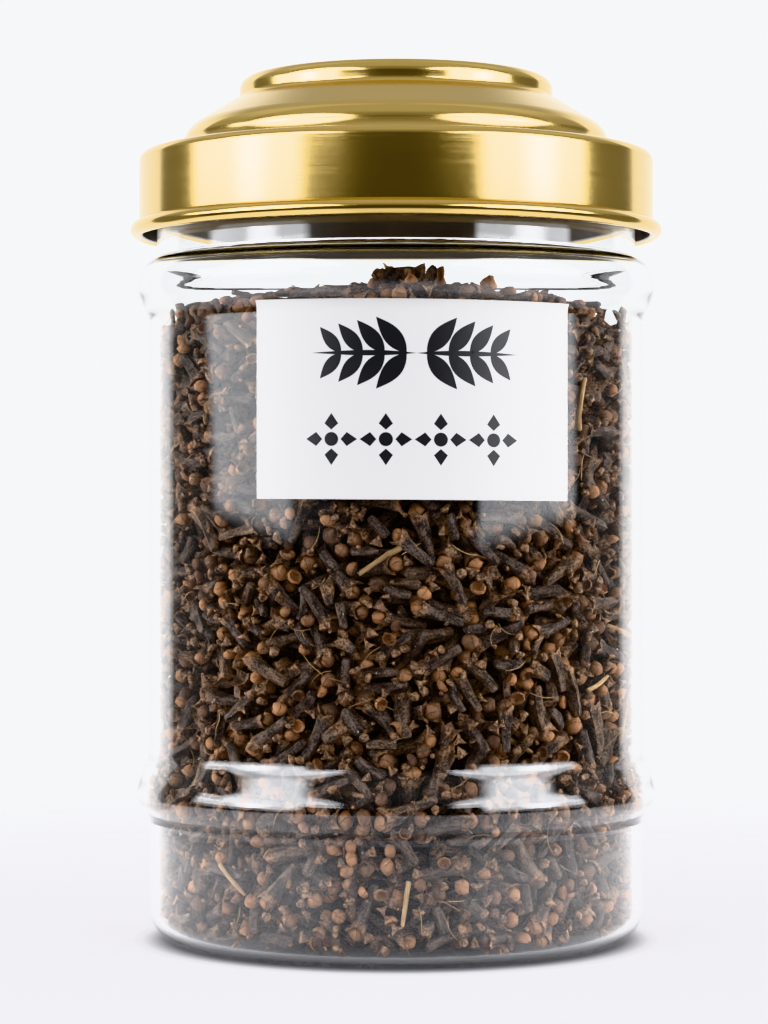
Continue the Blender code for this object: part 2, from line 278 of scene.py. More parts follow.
class Nodes:
    """Builds the nodes of one material, world or Geometry Nodes tree."""

    def __init__(self, tree):
        self.tree = tree
        tree.nodes.clear()

    def add(self, kind, settings=None, inputs=None, output=0):
        """A node with its settings made first and then its sockets, which take values or links."""
        node = self.tree.nodes.new(kind)
        for name, value in (settings or {}).items():
            setattr(node, name, value)
        for name, value in (inputs or {}).items():
            if isinstance(value, Value):
                self.tree.links.new(value.socket, node.inputs[name])
            else:
                node.inputs[name].default_value = value
        return Value(self, node.outputs[output]) if node.outputs else None

    def maths(self, operation, *values):
        return self.add("ShaderNodeMath", {"operation": operation}, dict(enumerate(values)))

    def vector(self, operation, *values):
        return self.add("ShaderNodeVectorMath", {"operation": operation}, dict(enumerate(values)))

    def mix(self, factor, first, second):
        """A mix of two colours, given as links or as (red, green, blue)."""
        first, second = [x if isinstance(x, Value) else (*x, 1.0) for x in (first, second)]
        inputs = {0: factor, 6: first, 7: second}
        return self.add("ShaderNodeMix", {"data_type": "RGBA"}, inputs, 2)

    def noise(self, place, scale, detail=2.0, roughness=0.5):
        inputs = {"Vector": place, "Scale": scale, "Detail": detail, "Roughness": roughness}
        return self.add("ShaderNodeTexNoise", None, inputs, "Fac")

    def parts(self, vector):
        """The three numbers of a vector."""
        x = self.add("ShaderNodeSeparateXYZ", None, {"Vector": vector}, "X")
        return x, x.output("Y"), x.output("Z")

    def attribute(self, name, output="Fac"):
        return self.add("ShaderNodeAttribute", {"attribute_name": name}, None, output)

    def place(self):
        return self.add("ShaderNodeTexCoord", None, None, "Object")

    def bump(self, height, distance):
        inputs = {"Height": height, "Distance": distance, "Strength": 1.0}
        return self.add("ShaderNodeBump", None, inputs)


def new_finish(name):
    """A material and its empty node tree."""
    made = bpy.data.materials.new(name)
    made.use_nodes = True
    return made, Nodes(made.node_tree)


def finished(made, nodes, shader):
    """The material, ended in a shader or in a Principled BSDF with these inputs."""
    if isinstance(shader, dict):
        shader = nodes.add("ShaderNodeBsdfPrincipled", None, shader)
    nodes.add("ShaderNodeOutputMaterial", None, {"Surface": shader})
    return made


def shaded(paint, factor):
    """The colour made darker or paler by a factor."""
    return tuple(min(part * factor, 1.0) for part in paint)


def clear_glass(tint):
    """Clear glass that bends what is seen through it and lets the light for the filling straight in."""
    made, nodes = new_finish("clear_glass")
    smudges = nodes.noise(nodes.place(), 48.0, 3.0, 0.6)
    surface = nodes.add("ShaderNodeBsdfPrincipled", None, {
        "Base Color": (*tint, 1.0),
        "Roughness": smudges.rising(0.45, 0.85) * 0.05,
        "IOR": GLASS_IOR,
        "Transmission Weight": 1.0,
    })
    open_way = nodes.add("ShaderNodeBsdfTransparent", None, {"Color": (0.97, 0.975, 0.975, 1.0)})
    shadow = nodes.add("ShaderNodeLightPath", None, None, "Is Shadow Ray")
    light_ray = nodes.maths("MAXIMUM", shadow, shadow.output("Is Diffuse Ray"))
    both = nodes.add("ShaderNodeMixShader", None, {0: light_ray, 1: surface, 2: open_way})
    return finished(made, nodes, both)


def gold_metal(lid):
    """Gold coloured sheet metal, spun and polished on top and brushed along the band. Its inside is a
    greyer metal, painted darker as shade.
    """
    made, nodes = new_finish("gold_metal")
    x, y, z = nodes.parts(nodes.place())
    turn = nodes.maths("ARCTAN2", x, y)
    radius = (x * x + y * y) ** 0.5
    reach = radius + z
    satin = z.between(lid.band_bottom + 0.6 * MM, lid.ledge_height - 1.6 * MM, 0.4 * MM)
    line = nodes.add("ShaderNodeCombineXYZ", None, {"X": turn * 0.9, "Y": reach * 4200.0})
    brushed = nodes.noise(line, 1.0, 3.0, 0.6)
    coarse = nodes.add("ShaderNodeCombineXYZ", None, {"X": turn * 1.6, "Y": reach * 900.0, "Z": 3.0})
    streaks = nodes.noise(coarse, 1.0, 2.0)
    smudge = nodes.noise(nodes.place(), 60.0, 3.0, 0.6)
    scratch_place = nodes.add("ShaderNodeMapping", None, {
        "Vector": nodes.place(),
        "Rotation": (0.5, 0.9, 0.4),
        "Scale": (2600.0, 240.0, 2600.0),
    })
    scratches = nodes.noise(scratch_place, 1.0, 1.0).rising(0.72, 0.80)
    roughness = lid.polish + satin * (lid.satin - lid.polish) + smudge * 0.05 + (streaks - 0.5) * 0.08
    paint = nodes.mix(smudge * 0.5 + streaks * 0.3, lid.gold, shaded(lid.gold, 0.86))
    # The lid's inside: a greyer, rougher metal, painted darker as the shade inside the lid.
    shaded_inside = radius.rising(lid.band_radius - 0.35 * MM, lid.band_radius - 0.55 * MM)
    shaded_inside = shaded_inside * z.rising(lid.ledge_height - 1.9 * MM, lid.ledge_height - 2.3 * MM)
    paint = nodes.mix(shaded_inside, paint, lid.shaded_inside)
    roughness = roughness + shaded_inside * 0.2
    height = brushed * (0.35 + 0.65 * satin) + scratches * 0.25
    return finished(made, nodes, {
        "Base Color": paint,
        "Metallic": 1.0,
        "Roughness": roughness,
        "Coat Weight": 0.15,
        "Coat Roughness": 0.1,
        "Normal": nodes.bump(height, 0.010 * MM),
    })


def label_paper(paper):
    """Smooth white paper with a faint grain, slightly worn, greyer edges and painted shade that darkens
    its left side.
    """
    made, nodes = new_finish("label_paper")
    place = nodes.place()
    grain = nodes.noise(place, 2600.0, 3.0, 0.6)
    cloud = nodes.noise(place, 55.0, 2.0)
    edge = nodes.attribute("edge")
    # Painted shade: the paper is painted darker towards its left side, where less light falls.
    painted_left_shade = nodes.parts(place)[0].rising(0.035, -0.030)
    shade = cloud * 0.1 + edge.rising(0.55, 1.0) * 0.25 + painted_left_shade * 0.65
    paint = nodes.mix(shade, paper, shaded(paper, 0.84))
    return finished(made, nodes, {
        "Base Color": paint,
        "Roughness": 0.42 + grain * 0.12,
        "Normal": nodes.bump(grain, 0.02 * MM),
    })


def label_ink(ink):
    """Black print, a little thin in places."""
    made, nodes = new_finish("label_ink")
    thin = nodes.noise(nodes.place(), 1800.0, 3.0, 0.7)
    paint = nodes.mix(thin.rising(0.62, 0.85) * 0.5, ink, (0.07, 0.07, 0.072))
    return finished(made, nodes, {"Base Color": paint, "Roughness": 0.35 + thin * 0.1})


def dried_clove(cloves):
    """Wrinkled dark stems with paler ridges, light edged calyx teeth and smoother reddish buds, with
    painted shade in the wrinkles and in the seams between the petals.

    The attribute part runs from 0 on the stem through 0.5 on the calyx to 1 on the bud, tint is drawn for
    each piece, and spot is the place on the piece before it was laid in the heap.
    """
    made, nodes = new_finish("dried_clove")
    part, tint = nodes.attribute("part"), nodes.attribute("tint")
    apart = nodes.add("ShaderNodeCombineXYZ", None, {"X": tint * 0.31, "Y": tint * 0.17, "Z": tint * 0.23})
    spot = nodes.vector("ADD", nodes.attribute("spot", "Vector"), apart)
    along = nodes.vector("MULTIPLY", spot, (1.0, 1.0, 0.4))
    folds = nodes.noise(along, 820.0, 3.0, 0.62)
    grain = nodes.noise(spot, GRAIN_SCALE, 3.0, 0.75)
    patches = nodes.noise(spot, LUMP_SCALE, 1.0)
    # Partly painted shade: the stems' own dark brown is painted darkest in the wrinkles, where the bump is
    # lowest, and paler on the ridges.
    ridge = (folds * 0.5 + grain * 0.6).rising(0.46, 0.68)
    stem = nodes.mix(ridge, cloves.bark_dark, cloves.bark_light)
    brown = nodes.mix(ridge, (0.030, 0.020, 0.015), (0.215, 0.136, 0.088))
    stem = nodes.mix(tint.rising(0.50, 1.0) * 0.7, stem, brown)
    on_bud = part.rising(0.62, 0.9)
    calyx = part.rising(0.2, 0.55) * (1.0 - on_bud)
    # The calyx teeth, too, are painted darker in their wrinkles as shade.
    tooth = nodes.mix(ridge, (0.044, 0.027, 0.018), (0.355, 0.205, 0.118))
    local_x, local_y, local_z = nodes.parts(nodes.attribute("spot", "Vector"))
    around = nodes.maths("ARCTAN2", local_y, local_x) + local_z * 260.0 + tint * 6.0
    # Painted shade: dark lines in the seams between the bud's petals.
    seam = abs(nodes.maths("SINE", around * 2.0)).rising(0.22, 0.02) * on_bud
    warmth = (patches * 0.7 + grain * 0.7 + nodes.maths("FRACT", tint * 7.0) * 0.6 - 0.45).rising(0.1, 1.0)
    bud = nodes.mix(warmth, cloves.bud_dark, cloves.bud_light)
    bud = nodes.mix(seam * 0.45, bud, (0.035, 0.019, 0.012))
    paint = nodes.mix(calyx * 0.85, stem, tooth)
    paint = nodes.mix(on_bud, paint, bud)
    cells = nodes.add("ShaderNodeTexVoronoi", None, {"Vector": nodes.place(), "Scale": 270.0}, "Distance")
    speck = cells.rising(0.055, 0.040)
    paint = nodes.mix(speck * 0.6, paint, (0.62, 0.58, 0.54))
    height = folds * (1.0 - 0.5 * on_bud) + grain * (0.45 - 0.1 * on_bud) - seam * 0.35
    return finished(made, nodes, {
        "Base Color": paint,
        "Roughness": 0.60 - 0.12 * on_bud + grain * 0.14,
        "Specular IOR Level": 0.25,
        "Normal": nodes.bump(height, 0.5 * MM),
    })


def plain_straw(straw):
    """Fibrous twigs and threads, from straw to brown."""
    made, nodes = new_finish("dry_straw")
    tint = nodes.attribute("tint")
    spot = nodes.attribute("spot", "Vector")
    fibres = nodes.noise(nodes.vector("MULTIPLY", spot, (1.0, 1.0, 0.12)), 3600.0, 3.0, 0.6)
    paint = nodes.mix(fibres.rising(0.3, 0.75), shaded(straw, 0.42), straw)
    paint = nodes.mix(tint.rising(0.3, 0.9) * 0.65, paint, (0.16, 0.085, 0.045))
    return finished(made, nodes, {
        "Base Color": paint,
        "Roughness": 0.6 + fibres * 0.2,
        "Normal": nodes.bump(fibres, 0.15 * MM),
    })


def painted_shade_core():
    """What shows in the gaps: more cloves deep in the heap, painted nearly black as the shade that falls
    there.
    """
    made, nodes = new_finish("deep_cloves")
    place = nodes.place()
    lumps = nodes.noise(place, LUMP_SCALE, 3.0, 0.6)
    grain = nodes.noise(place, GRAIN_SCALE, 3.0, 0.7)
    # Painted shade: darkest in the hollows between the lumps, a little lighter on them.
    raised = (lumps * 0.7 + grain * 0.4).rising(0.45, 0.8)
    paint = nodes.mix(raised, (0.006, 0.0045, 0.004), (0.050, 0.032, 0.023))
    return finished(made, nodes, {
        "Base Color": paint,
        "Roughness": 0.85 - grain * 0.1,
        "Specular IOR Level": 0.1,
        "Normal": nodes.bump(lumps + grain * 0.3, 2.2 * MM),
    })


def white_floor(stage):
    """A pale, glowing floor that fades into the background with its distance from the jar, with painted
    shade near the jar and a painted contact shadow round its foot.

    Distances are in metres from the jar's axis, and the jar stands on the floor out to 0.052.
    """
    made, nodes = new_finish("white_floor")
    x, y, _ = nodes.parts(nodes.place())
    distance = (x * x + y * y) ** 0.5
    in_front = abs(nodes.maths("ARCTAN2", x, 0.0 - y)).rising(0.62, 0.30)
    # Painted shade: the floor is painted a little darker near the jar and paler farther out.
    paint = nodes.mix(distance.rising(0.06, 0.30), stage.floor_paint, shaded(stage.floor_paint, 1.06))
    # Painted contact shadow: the floor is painted dark grey under and just round the jar's foot.
    paint = nodes.mix(distance.rising(0.050, 0.061), (0.13, 0.13, 0.135), paint)
    matt = nodes.add("ShaderNodeBsdfDiffuse", None, {"Color": paint})
    # Painted contact shadow: the floor's glow falls to black under the foot.
    light = nodes.mix(distance.rising(0.0535, 0.064), (0.0, 0.0, 0.0), (0.56, 0.555, 0.575))
    light = nodes.mix(distance.rising(0.12, stage.floor_radius), light, stage.background)
    # Painted reflection: seen in glass and metal, the floor glows brighter to the sides and behind, and
    # dimmer in front.
    rays = nodes.add("ShaderNodeLightPath", None, None, "Glossy Depth")
    mirrored = nodes.maths("MINIMUM", rays, 1.0)
    strength = stage.floor_glow * (1.0 + mirrored * (0.6 - in_front))
    glow = nodes.add("ShaderNodeEmission", None, {"Color": light, "Strength": strength})
    matt = nodes.add("ShaderNodeAddShader", None, {0: matt, 1: glow})
    gone = nodes.add("ShaderNodeBsdfTransparent")
    fade = distance.rising(stage.floor_fade, stage.floor_radius * 0.96)
    return finished(made, nodes, nodes.add("ShaderNodeMixShader", None, {0: fade, 1: matt, 2: gone}))


def group_tree(name, sockets):
    """A Geometry Nodes tree with its inputs, its builder and its Group Input's outputs by name."""
    tree = bpy.data.node_groups.new(name, "GeometryNodeTree")
    for label, kind in sockets:
        tree.interface.new_socket(label, in_out="INPUT", socket_type=kind)
    tree.interface.new_socket("Geometry", in_out="OUTPUT", socket_type="NodeSocketGeometry")
    nodes = Nodes(tree)
    first = nodes.add("NodeGroupInput")
    return tree, nodes, {label: first.output(label) for label, _ in sockets}


def ended(tree, nodes, geometry, finish):
    """The tree, ended with its instances made real and its material set."""
    real = nodes.add("GeometryNodeRealizeInstances", None, {"Geometry": geometry})
    done = nodes.add("GeometryNodeSetMaterial", None, {"Geometry": real, "Material": finish})
    nodes.add("NodeGroupOutput", None, {"Geometry": done})
    return tree


def turned_tree():
    """Turns a profile about Z: a grid has a column for each step and a row for each profile point."""
    tree, nodes, given = group_tree("Turned Shape", [
        ("Geometry", "NodeSocketGeometry"),
        ("Steps", "NodeSocketInt"),
        ("Seam", "NodeSocketFloat"),
        ("Finish", "NodeSocketMaterial"),
    ])
    profile = {"Geometry": given["Geometry"]}
    rows = nodes.add("GeometryNodeAttributeDomainSize", None, profile, "Point Count")
    grid = nodes.add("GeometryNodeMeshGrid", None, {
        "Size X": 1.0,
        "Size Y": 1.0,
        "Vertices X": given["Steps"] + 1.0,
        "Vertices Y": rows,
    }, "Mesh")
    across, up, _ = nodes.parts(nodes.add("GeometryNodeInputPosition"))
    row = nodes.maths("ROUND", (up + 0.5) * (rows - 1.0))
    sampled = nodes.add(
        "GeometryNodeSampleIndex",
        {"data_type": "FLOAT_VECTOR"},
        {**profile, "Value": nodes.add("GeometryNodeInputPosition"), "Index": row},
        "Value",
    )
    radius, _, height = nodes.parts(sampled)
    turn = (across + 0.5) * math.tau
    place = nodes.add("ShaderNodeCombineXYZ", None, {
        "X": radius * nodes.maths("SINE", turn),
        "Y": radius * nodes.maths("COSINE", turn),
        "Z": height,
    })
    bent = nodes.add("GeometryNodeSetPosition", None, {"Geometry": grid, "Position": place})
    closed = nodes.add("GeometryNodeMergeByDistance", None, {"Geometry": bent, "Distance": given["Seam"]})
    smooth = nodes.add("GeometryNodeSetShadeSmooth", None, {"Geometry": closed, "Shade Smooth": True})
    return ended(tree, nodes, smooth, given["Finish"])


def scatter_tree():
    """Lays a copy of a shape on every point, turned and sized by the point's attributes."""
    tree, nodes, given = group_tree("Scattered Pieces", [
        ("Geometry", "NodeSocketGeometry"),
        ("Shape", "NodeSocketObject"),
        ("Seed", "NodeSocketInt"),
        ("Finish", "NodeSocketMaterial"),
    ])
    shape = nodes.add("GeometryNodeObjectInfo", None, {"Object": given["Shape"]}, "Geometry")
    turn, size = [
        nodes.add("GeometryNodeInputNamedAttribute", {"data_type": kind}, {"Name": name}, "Attribute")
        for kind, name in (("QUATERNION", "turn"), ("FLOAT", "size"))
    ]
    laid = nodes.add("GeometryNodeInstanceOnPoints", None, {
        "Points": given["Geometry"],
        "Instance": shape,
        "Rotation": turn,
        "Scale": size,
    })
    drawn = nodes.add("FunctionNodeRandomValue", {"data_type": "FLOAT"}, {"Seed": given["Seed"]}, 1)
    tinted = nodes.add(
        "GeometryNodeStoreNamedAttribute",
        {"data_type": "FLOAT", "domain": "INSTANCE"},
        {"Geometry": laid, "Name": "tint", "Value": drawn},
    )
    return ended(tree, nodes, tinted, given["Finish"])


def shared_tree(name, make):
    return bpy.data.node_groups.get(name) or make()


def plain_object(name, mesh):
    """A new object that holds the mesh, in place of any earlier one of that name."""
    old = bpy.data.objects.get(name)
    if old is not None:
        bpy.data.objects.remove(old, do_unlink=True)
    made = bpy.data.objects.new(name, mesh)
    bpy.context.scene.collection.objects.link(made)
    return made


def realised(obj, tree, values):
    """Runs a Geometry Nodes tree on the object and leaves the result as its plain mesh."""
    modifier = obj.modifiers.new("Build", "NODES")
    modifier.node_group = tree
    for item in tree.interface.items_tree:
        if item.in_out == "INPUT" and item.name in values:
            modifier[item.identifier] = values[item.name]
    graph = bpy.context.evaluated_depsgraph_get()
    graph.update()
    made = bpy.data.meshes.new_from_object(
        obj.evaluated_get(graph), preserve_all_data_layers=True, depsgraph=graph
    )
    if not made.polygons:
        raise RuntimeError(f"{obj.name} came out empty")
    obj.modifiers.remove(modifier)
    obj.data = made
    made.name = obj.name
    return obj


def mesh_arrays(mesh):
    points = np.empty(len(mesh.vertices) * 3)
    mesh.vertices.foreach_get("co", points)
    mesh.calc_loop_triangles()
    faces = np.empty(len(mesh.loop_triangles) * 3, int)
    mesh.loop_triangles.foreach_get("vertices", faces)
    return points.reshape(-1, 3), faces.reshape(-1, 3)


def face_outwards(mesh):
    """Turns every face round if the closed body is inside out."""
    points, faces = mesh_arrays(mesh)
    if np.linalg.det(points[faces]).sum() < 0.0:
        mesh.flip_normals()


def turned_piece(name, profile, steps, finish):
    """A (radius, height) profile turned about Z into a closed body."""
    mesh = bpy.data.meshes.new(name)
    mesh.from_pydata([(radius, 0.0, height) for radius, height in profile], [], [])
    piece = plain_object(name, mesh)
    tree = shared_tree("Turned Shape", turned_tree)
    realised(piece, tree, {"Steps": steps, "Seam": 0.002 * MM, "Finish": finish})
    face_outwards(piece.data)
    piece.data.set_sharp_from_angle(angle=SHARP_EDGE)
    return piece


def hand_over(piece, slot, *nodes):
    """Makes the piece ride on the jar and stand for its CAD nodes, which it hides. The slot is not used.
    """
    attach(piece, BODY)
    if nodes:
        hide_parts(*nodes)


def arc(centre, radii, start, end, points):
    """Points (radius, height) on an ellipse, between two angles in degrees from the outward direction."""
    turns = np.radians(np.linspace(start, end, points))
    return list(zip(centre[0] + radii[0] * np.cos(turns), centre[1] + radii[1] * np.sin(turns)))


def shoulder_radius(glass, height):
    """Outer radius of the glass where the shoulder runs down into the straight wall."""
    fallen = np.clip((glass.shoulder_height - height) / glass.shoulder_fall, 0.0, 1.0)
    crest = glass.shoulder_radius - glass.body_radius
    return glass.body_radius + crest * (0.5 + 0.5 * np.cos(np.pi * fallen))


def ring_swell(glass, height, bend=0.3):
    """How far the bulging ring stands out of the wall: an even slope between two short curves."""
    away = np.asarray(height, float) - glass.ring_height
    away = np.clip(np.where(away > 0.0, away / glass.ring_rise, -away / glass.ring_fall), 0.0, 1.0)
    left = np.where(away < bend, 1.0 - bend - away**2 / (2 * bend), 1.0 - bend / 2 - away)
    left = np.where(away > 1.0 - bend, (1.0 - away) ** 2 / (2 * bend), left)
    return (glass.ring_radius - glass.body_radius) * left / (1.0 - bend)


def ring_points(glass, wall_radius, margin=0.5 * MM):
    """The ring from above to below it, with a margin at the ends of both straight walls."""
    levels = np.linspace(glass.ring_height + glass.ring_rise, glass.ring_height - glass.ring_fall, 33)
    ring = [(wall_radius + float(ring_swell(glass, level)), level) for level in levels]
    wall_top = glass.shoulder_height - glass.shoulder_fall - margin
    above = [(wall_radius, wall_top), (wall_radius, levels[0] + margin)]
    below = [(wall_radius, levels[-1] - margin), (wall_radius, glass.foot_corner + margin)]
    return above + ring + below


def neck_foot(glass):
    """Centre of the neck's fillet and centre of the shoulder's arc."""
    top = glass.shoulder_height + glass.shoulder_rise
    fillet = (glass.neck_radius + glass.neck_fillet, top + glass.neck_fillet)
    return fillet, (glass.neck_radius + SHOULDER_INSET, glass.shoulder_height)


def jar_outside(glass):
    """From the top of the neck fillet down to the centre of the base."""
    fillet, shoulder = neck_foot(glass)
    points = arc(fillet, (glass.neck_fillet, glass.neck_fillet), *FILLET_TURN, 6)
    crest = (glass.shoulder_radius - shoulder[0], glass.shoulder_rise)
    points += arc(shoulder, crest, SHOULDER_TURN, 0, 20)
    for fallen in np.linspace(0.0, 1.0, 14)[1:]:
        height = glass.shoulder_height - fallen * glass.shoulder_fall
        points.append((shoulder_radius(glass, height), height))
    points += ring_points(glass, glass.body_radius)
    corner = (glass.body_radius - glass.foot_radius, glass.foot_corner)
    points += arc((glass.foot_radius, glass.foot_corner), corner, 0, -90, 16)
    ring_inside = glass.foot_radius - glass.foot_ring
    points.append((ring_inside, 0.0))
    points.append((ring_inside - glass.foot_recess, glass.foot_recess))
    points.append((0.0, glass.foot_recess))
    return points


def floor_corner(glass):
    """Width and height of the inside's rounded lower corner."""
    return glass.body_radius - glass.wall - glass.foot_radius, glass.foot_corner - glass.floor_thickness


def jar_inside(glass):
    """From the centre of the floor up to the rim, a wall's thickness inside the outer face."""
    inner = glass.body_radius - glass.wall
    points = [(0.0, glass.floor_thickness)]
    points += arc((glass.foot_radius, glass.foot_corner), floor_corner(glass), -90, 0, 12)
    points += reversed(ring_points(glass, inner))
    for fallen in np.linspace(1.0, 0.0, 14):
        height = glass.shoulder_height - fallen * glass.shoulder_fall
        points.append((shoulder_radius(glass, height) - glass.wall, height))
    fillet, shoulder = neck_foot(glass)
    crest = (glass.shoulder_radius - shoulder[0] - glass.wall, glass.shoulder_rise - glass.wall)
    points += arc(shoulder, crest, 6, SHOULDER_TURN, 12)
    rounding = glass.neck_fillet + glass.wall
    points += arc(fillet, (rounding, rounding), *FILLET_TURN[::-1], 10)
    return points


def jar_profile(glass):
    half = glass.wall / 2
    rim = arc((glass.neck_radius - half, glass.rim_height - half), (half, half), 180, 0, 9)
    return jar_inside(glass) + rim + jar_outside(glass)


def inner_radius(glass, height):
    """Inner radius of the glass at any height of the filling."""
    height = np.asarray(height, float)
    inner = glass.body_radius - glass.wall
    radius = np.maximum(shoulder_radius(glass, height), glass.body_radius) - glass.wall
    radius = np.maximum(radius, inner + ring_swell(glass, height))
    corner = floor_corner(glass)
    drop = np.clip((glass.foot_corner - height) / corner[1], 0.0, 1.0)
    return radius - corner[0] * (1.0 - np.sqrt(1.0 - drop**2))


def lid_profile(lid):
    """From the centre of the top down the outside, round the hem and back up the inside."""
    knob = (lid.knob_radius - lid.knob_edge, LID_TOP - lid.knob_edge)
    dome = (lid.dome_radius - lid.dome_curve, lid.dome_height)
    ledge = (lid.band_radius - lid.ledge_edge, lid.ledge_height - lid.ledge_edge)
    hem = (lid.hem_radius - lid.hem_tube, lid.hem_bottom + lid.hem_tube)
    inner_edge = lid.ledge_edge - lid.sheet
    inner_dome = (lid.dome_curve - lid.sheet, lid.dome_rise - lid.sheet)
    points = [(0.0, LID_TOP), (lid.knob_radius * 0.5, LID_TOP)]
    points += arc(knob, (lid.knob_edge, lid.knob_edge), 90, 0, 14)
    step = LID_TOP - lid.knob_height
    hollow = lid.knob_hollow
    points += arc((lid.knob_radius + hollow, step + hollow), (hollow, hollow), 180, 262, 9)
    points += arc((lid.knob_radius + hollow, step - hollow), (hollow, hollow), 82, 58, 6)
    points += arc(dome, (lid.dome_curve, lid.dome_rise), 52, 0, 22)
    points.append((lid.dome_foot - 0.5 * MM, lid.ledge_height + 0.5 * MM))
    points.append((lid.dome_foot, lid.ledge_height))
    points += arc(ledge, (lid.ledge_edge, lid.ledge_edge), 90, 0, 12)
    points.append((lid.band_radius, lid.band_bottom + 0.3 * MM))
    points += arc(hem, (lid.hem_tube, lid.hem_tube), 68, -90, 18)
    points.append((lid.band_radius - lid.sheet, lid.hem_bottom + lid.sheet))
    points += arc(ledge, (inner_edge, inner_edge), 0, 90, 6)
    points.append((lid.dome_foot - lid.sheet, lid.ledge_height - lid.sheet))
    points += arc(dome, inner_dome, 0, 52, 12)
    points.append((lid.knob_radius - lid.sheet, LID_TOP - lid.knob_height - lid.sheet))
    points.append((lid.knob_radius - lid.sheet, LID_TOP - lid.knob_edge))
    points.append((knob[0], LID_TOP - lid.sheet))
    points.append((0.0, LID_TOP - lid.sheet))
    return points


def on_label(label, glass, across, up, off):
    """A point of the label from its shares across and up, off the glass by that distance."""
    middle = (label.left + label.right) / 2
    turn = middle + (np.asarray(across) - 0.5) * (label.right - label.left)
    level = label.bottom + np.asarray(up) * (label.top - label.bottom)
    radius = np.maximum(shoulder_radius(glass, level), glass.body_radius) + off
    height = level - (turn - middle) * radius * math.tan(label.tilt)
    return np.stack([radius * np.sin(turn), -radius * np.cos(turn), height], axis=-1)


def label_sheet(label, glass, columns=72, rows=40):
    """The sheet as a closed grid: an outer face, an inner face and the cut edge between them."""
    across, up = np.meshgrid(np.linspace(0, 1, columns + 1), np.linspace(0, 1, rows + 1))
    outer = on_label(label, glass, across, up, label.gap + label.thickness).reshape(-1, 3)
    inner = on_label(label, glass, across, up, label.gap).reshape(-1, 3)
    index = np.arange((rows + 1) * (columns + 1)).reshape(rows + 1, columns + 1)
    quads = np.stack([index[:-1, :-1], index[:-1, 1:], index[1:, 1:], index[1:, :-1]], axis=-1)
    quads = quads.reshape(-1, 4)
    border = np.concatenate([index[0, :], index[1:, -1], index[-1, -2::-1], index[-2:0:-1, 0]])
    following = np.roll(border, -1)
    total = index.size
    faces = quads.tolist() + (quads[:, ::-1] + total).tolist()
    faces += np.stack([border, border + total, following + total, following], axis=-1).tolist()
    mesh = bpy.data.meshes.new("paper_label")
    mesh.from_pydata(np.concatenate([outer, inner]).tolist(), [], faces)
    nearness = np.maximum(abs(across - 0.5), abs(up - 0.5)).ravel() * 2.0
    edge = mesh.attributes.new("edge", "FLOAT", "POINT")
    edge.data.foreach_set("value", np.tile(nearness**12, 2).astype(np.float32))
    mesh.shade_smooth()
    mesh.set_sharp_from_angle(angle=SHARP_EDGE)
    face_outwards(mesh)
    return mesh


def spin(turn):
    """Matrix that turns flat points by an angle."""
    return np.array([[math.cos(turn), math.sin(turn)], [-math.sin(turn), math.cos(turn)]])


def leaf_sign(half_width=0.19):
    """Outline of a pointed leaf one unit long."""
    along = np.linspace(0.0, 1.0, 12)
    half = half_width * np.sin(math.pi * along**0.85)
    return [np.concatenate([np.stack([half, along], axis=-1), np.stack([-half, along], axis=-1)[-2:0:-1]])]


def blossom_sign():
    """Outlines of four pointed petals round a disc."""
    turns = np.linspace(0, math.tau, 20, endpoint=False)
    outlines = [np.stack([0.27 * np.cos(turns), 0.27 * np.sin(turns)], axis=-1)]
    petal = np.array([(0.0, 0.36), (0.27, 0.60), (0.0, 1.0), (-0.27, 0.60)])
    for turn in np.arange(4) * math.pi / 2:
        outlines.append(petal @ spin(turn))
    return outlines


def label_print(label, glass):
    """Simple signs on the label, as thin raised shapes bent with the paper."""
    width = (label.right - label.left) * glass.body_radius
    height = label.top - label.bottom
    signs = [(blossom_sign(), (place, 0.30), 0.13, 0.0) for place in np.linspace(0.245, 0.735, 4)]
    signs += [(leaf_sign(0.026), (0.50, 0.73), 0.53, lean) for lean in (-math.pi / 2, math.pi / 2)]
    for step, place in enumerate((0.03, 0.095, 0.160, 0.225)):
        tall = 0.235 - 0.022 * step
        for side in (-1.0, 1.0):
            for lean in (0.7, 2.44):
                signs.append((leaf_sign(), (0.50 + side * place, 0.73), tall, -side * lean))
    work = bmesh.new()
    for outlines, (across, up), tall, lean in signs:
        for outline in outlines:
            spun = outline @ spin(lean) * tall * height
            corners = [work.verts.new((across * width + x, up * height + y, 0.0)) for x, y in spun]
            work.faces.new(corners)
    for cut in np.arange(STRIP_WIDTH, width, STRIP_WIDTH):
        everything = work.verts[:] + work.edges[:] + work.faces[:]
        bmesh.ops.bisect_plane(work, geom=everything, plane_co=(cut, 0, 0), plane_no=(1, 0, 0))
    bmesh.ops.recalc_face_normals(work, faces=work.faces[:])
    raised = bmesh.ops.extrude_face_region(work, geom=work.faces[:])
    for item in raised["geom"]:
        if isinstance(item, bmesh.types.BMVert):
            item.co.z = 1.0
    flat = np.array([vert.co for vert in work.verts])
    off = label.gap + label.thickness + (0.045 * flat[:, 2] - 0.03) * MM
    placed = on_label(label, glass, flat[:, 0] / width, flat[:, 1] / height, off)
    for vert, place in zip(work.verts, placed):
        vert.co = place
    bmesh.ops.recalc_face_normals(work, faces=work.faces[:])
    mesh = bpy.data.meshes.new("label_print")
    work.to_mesh(mesh)
    work.free()
    return mesh


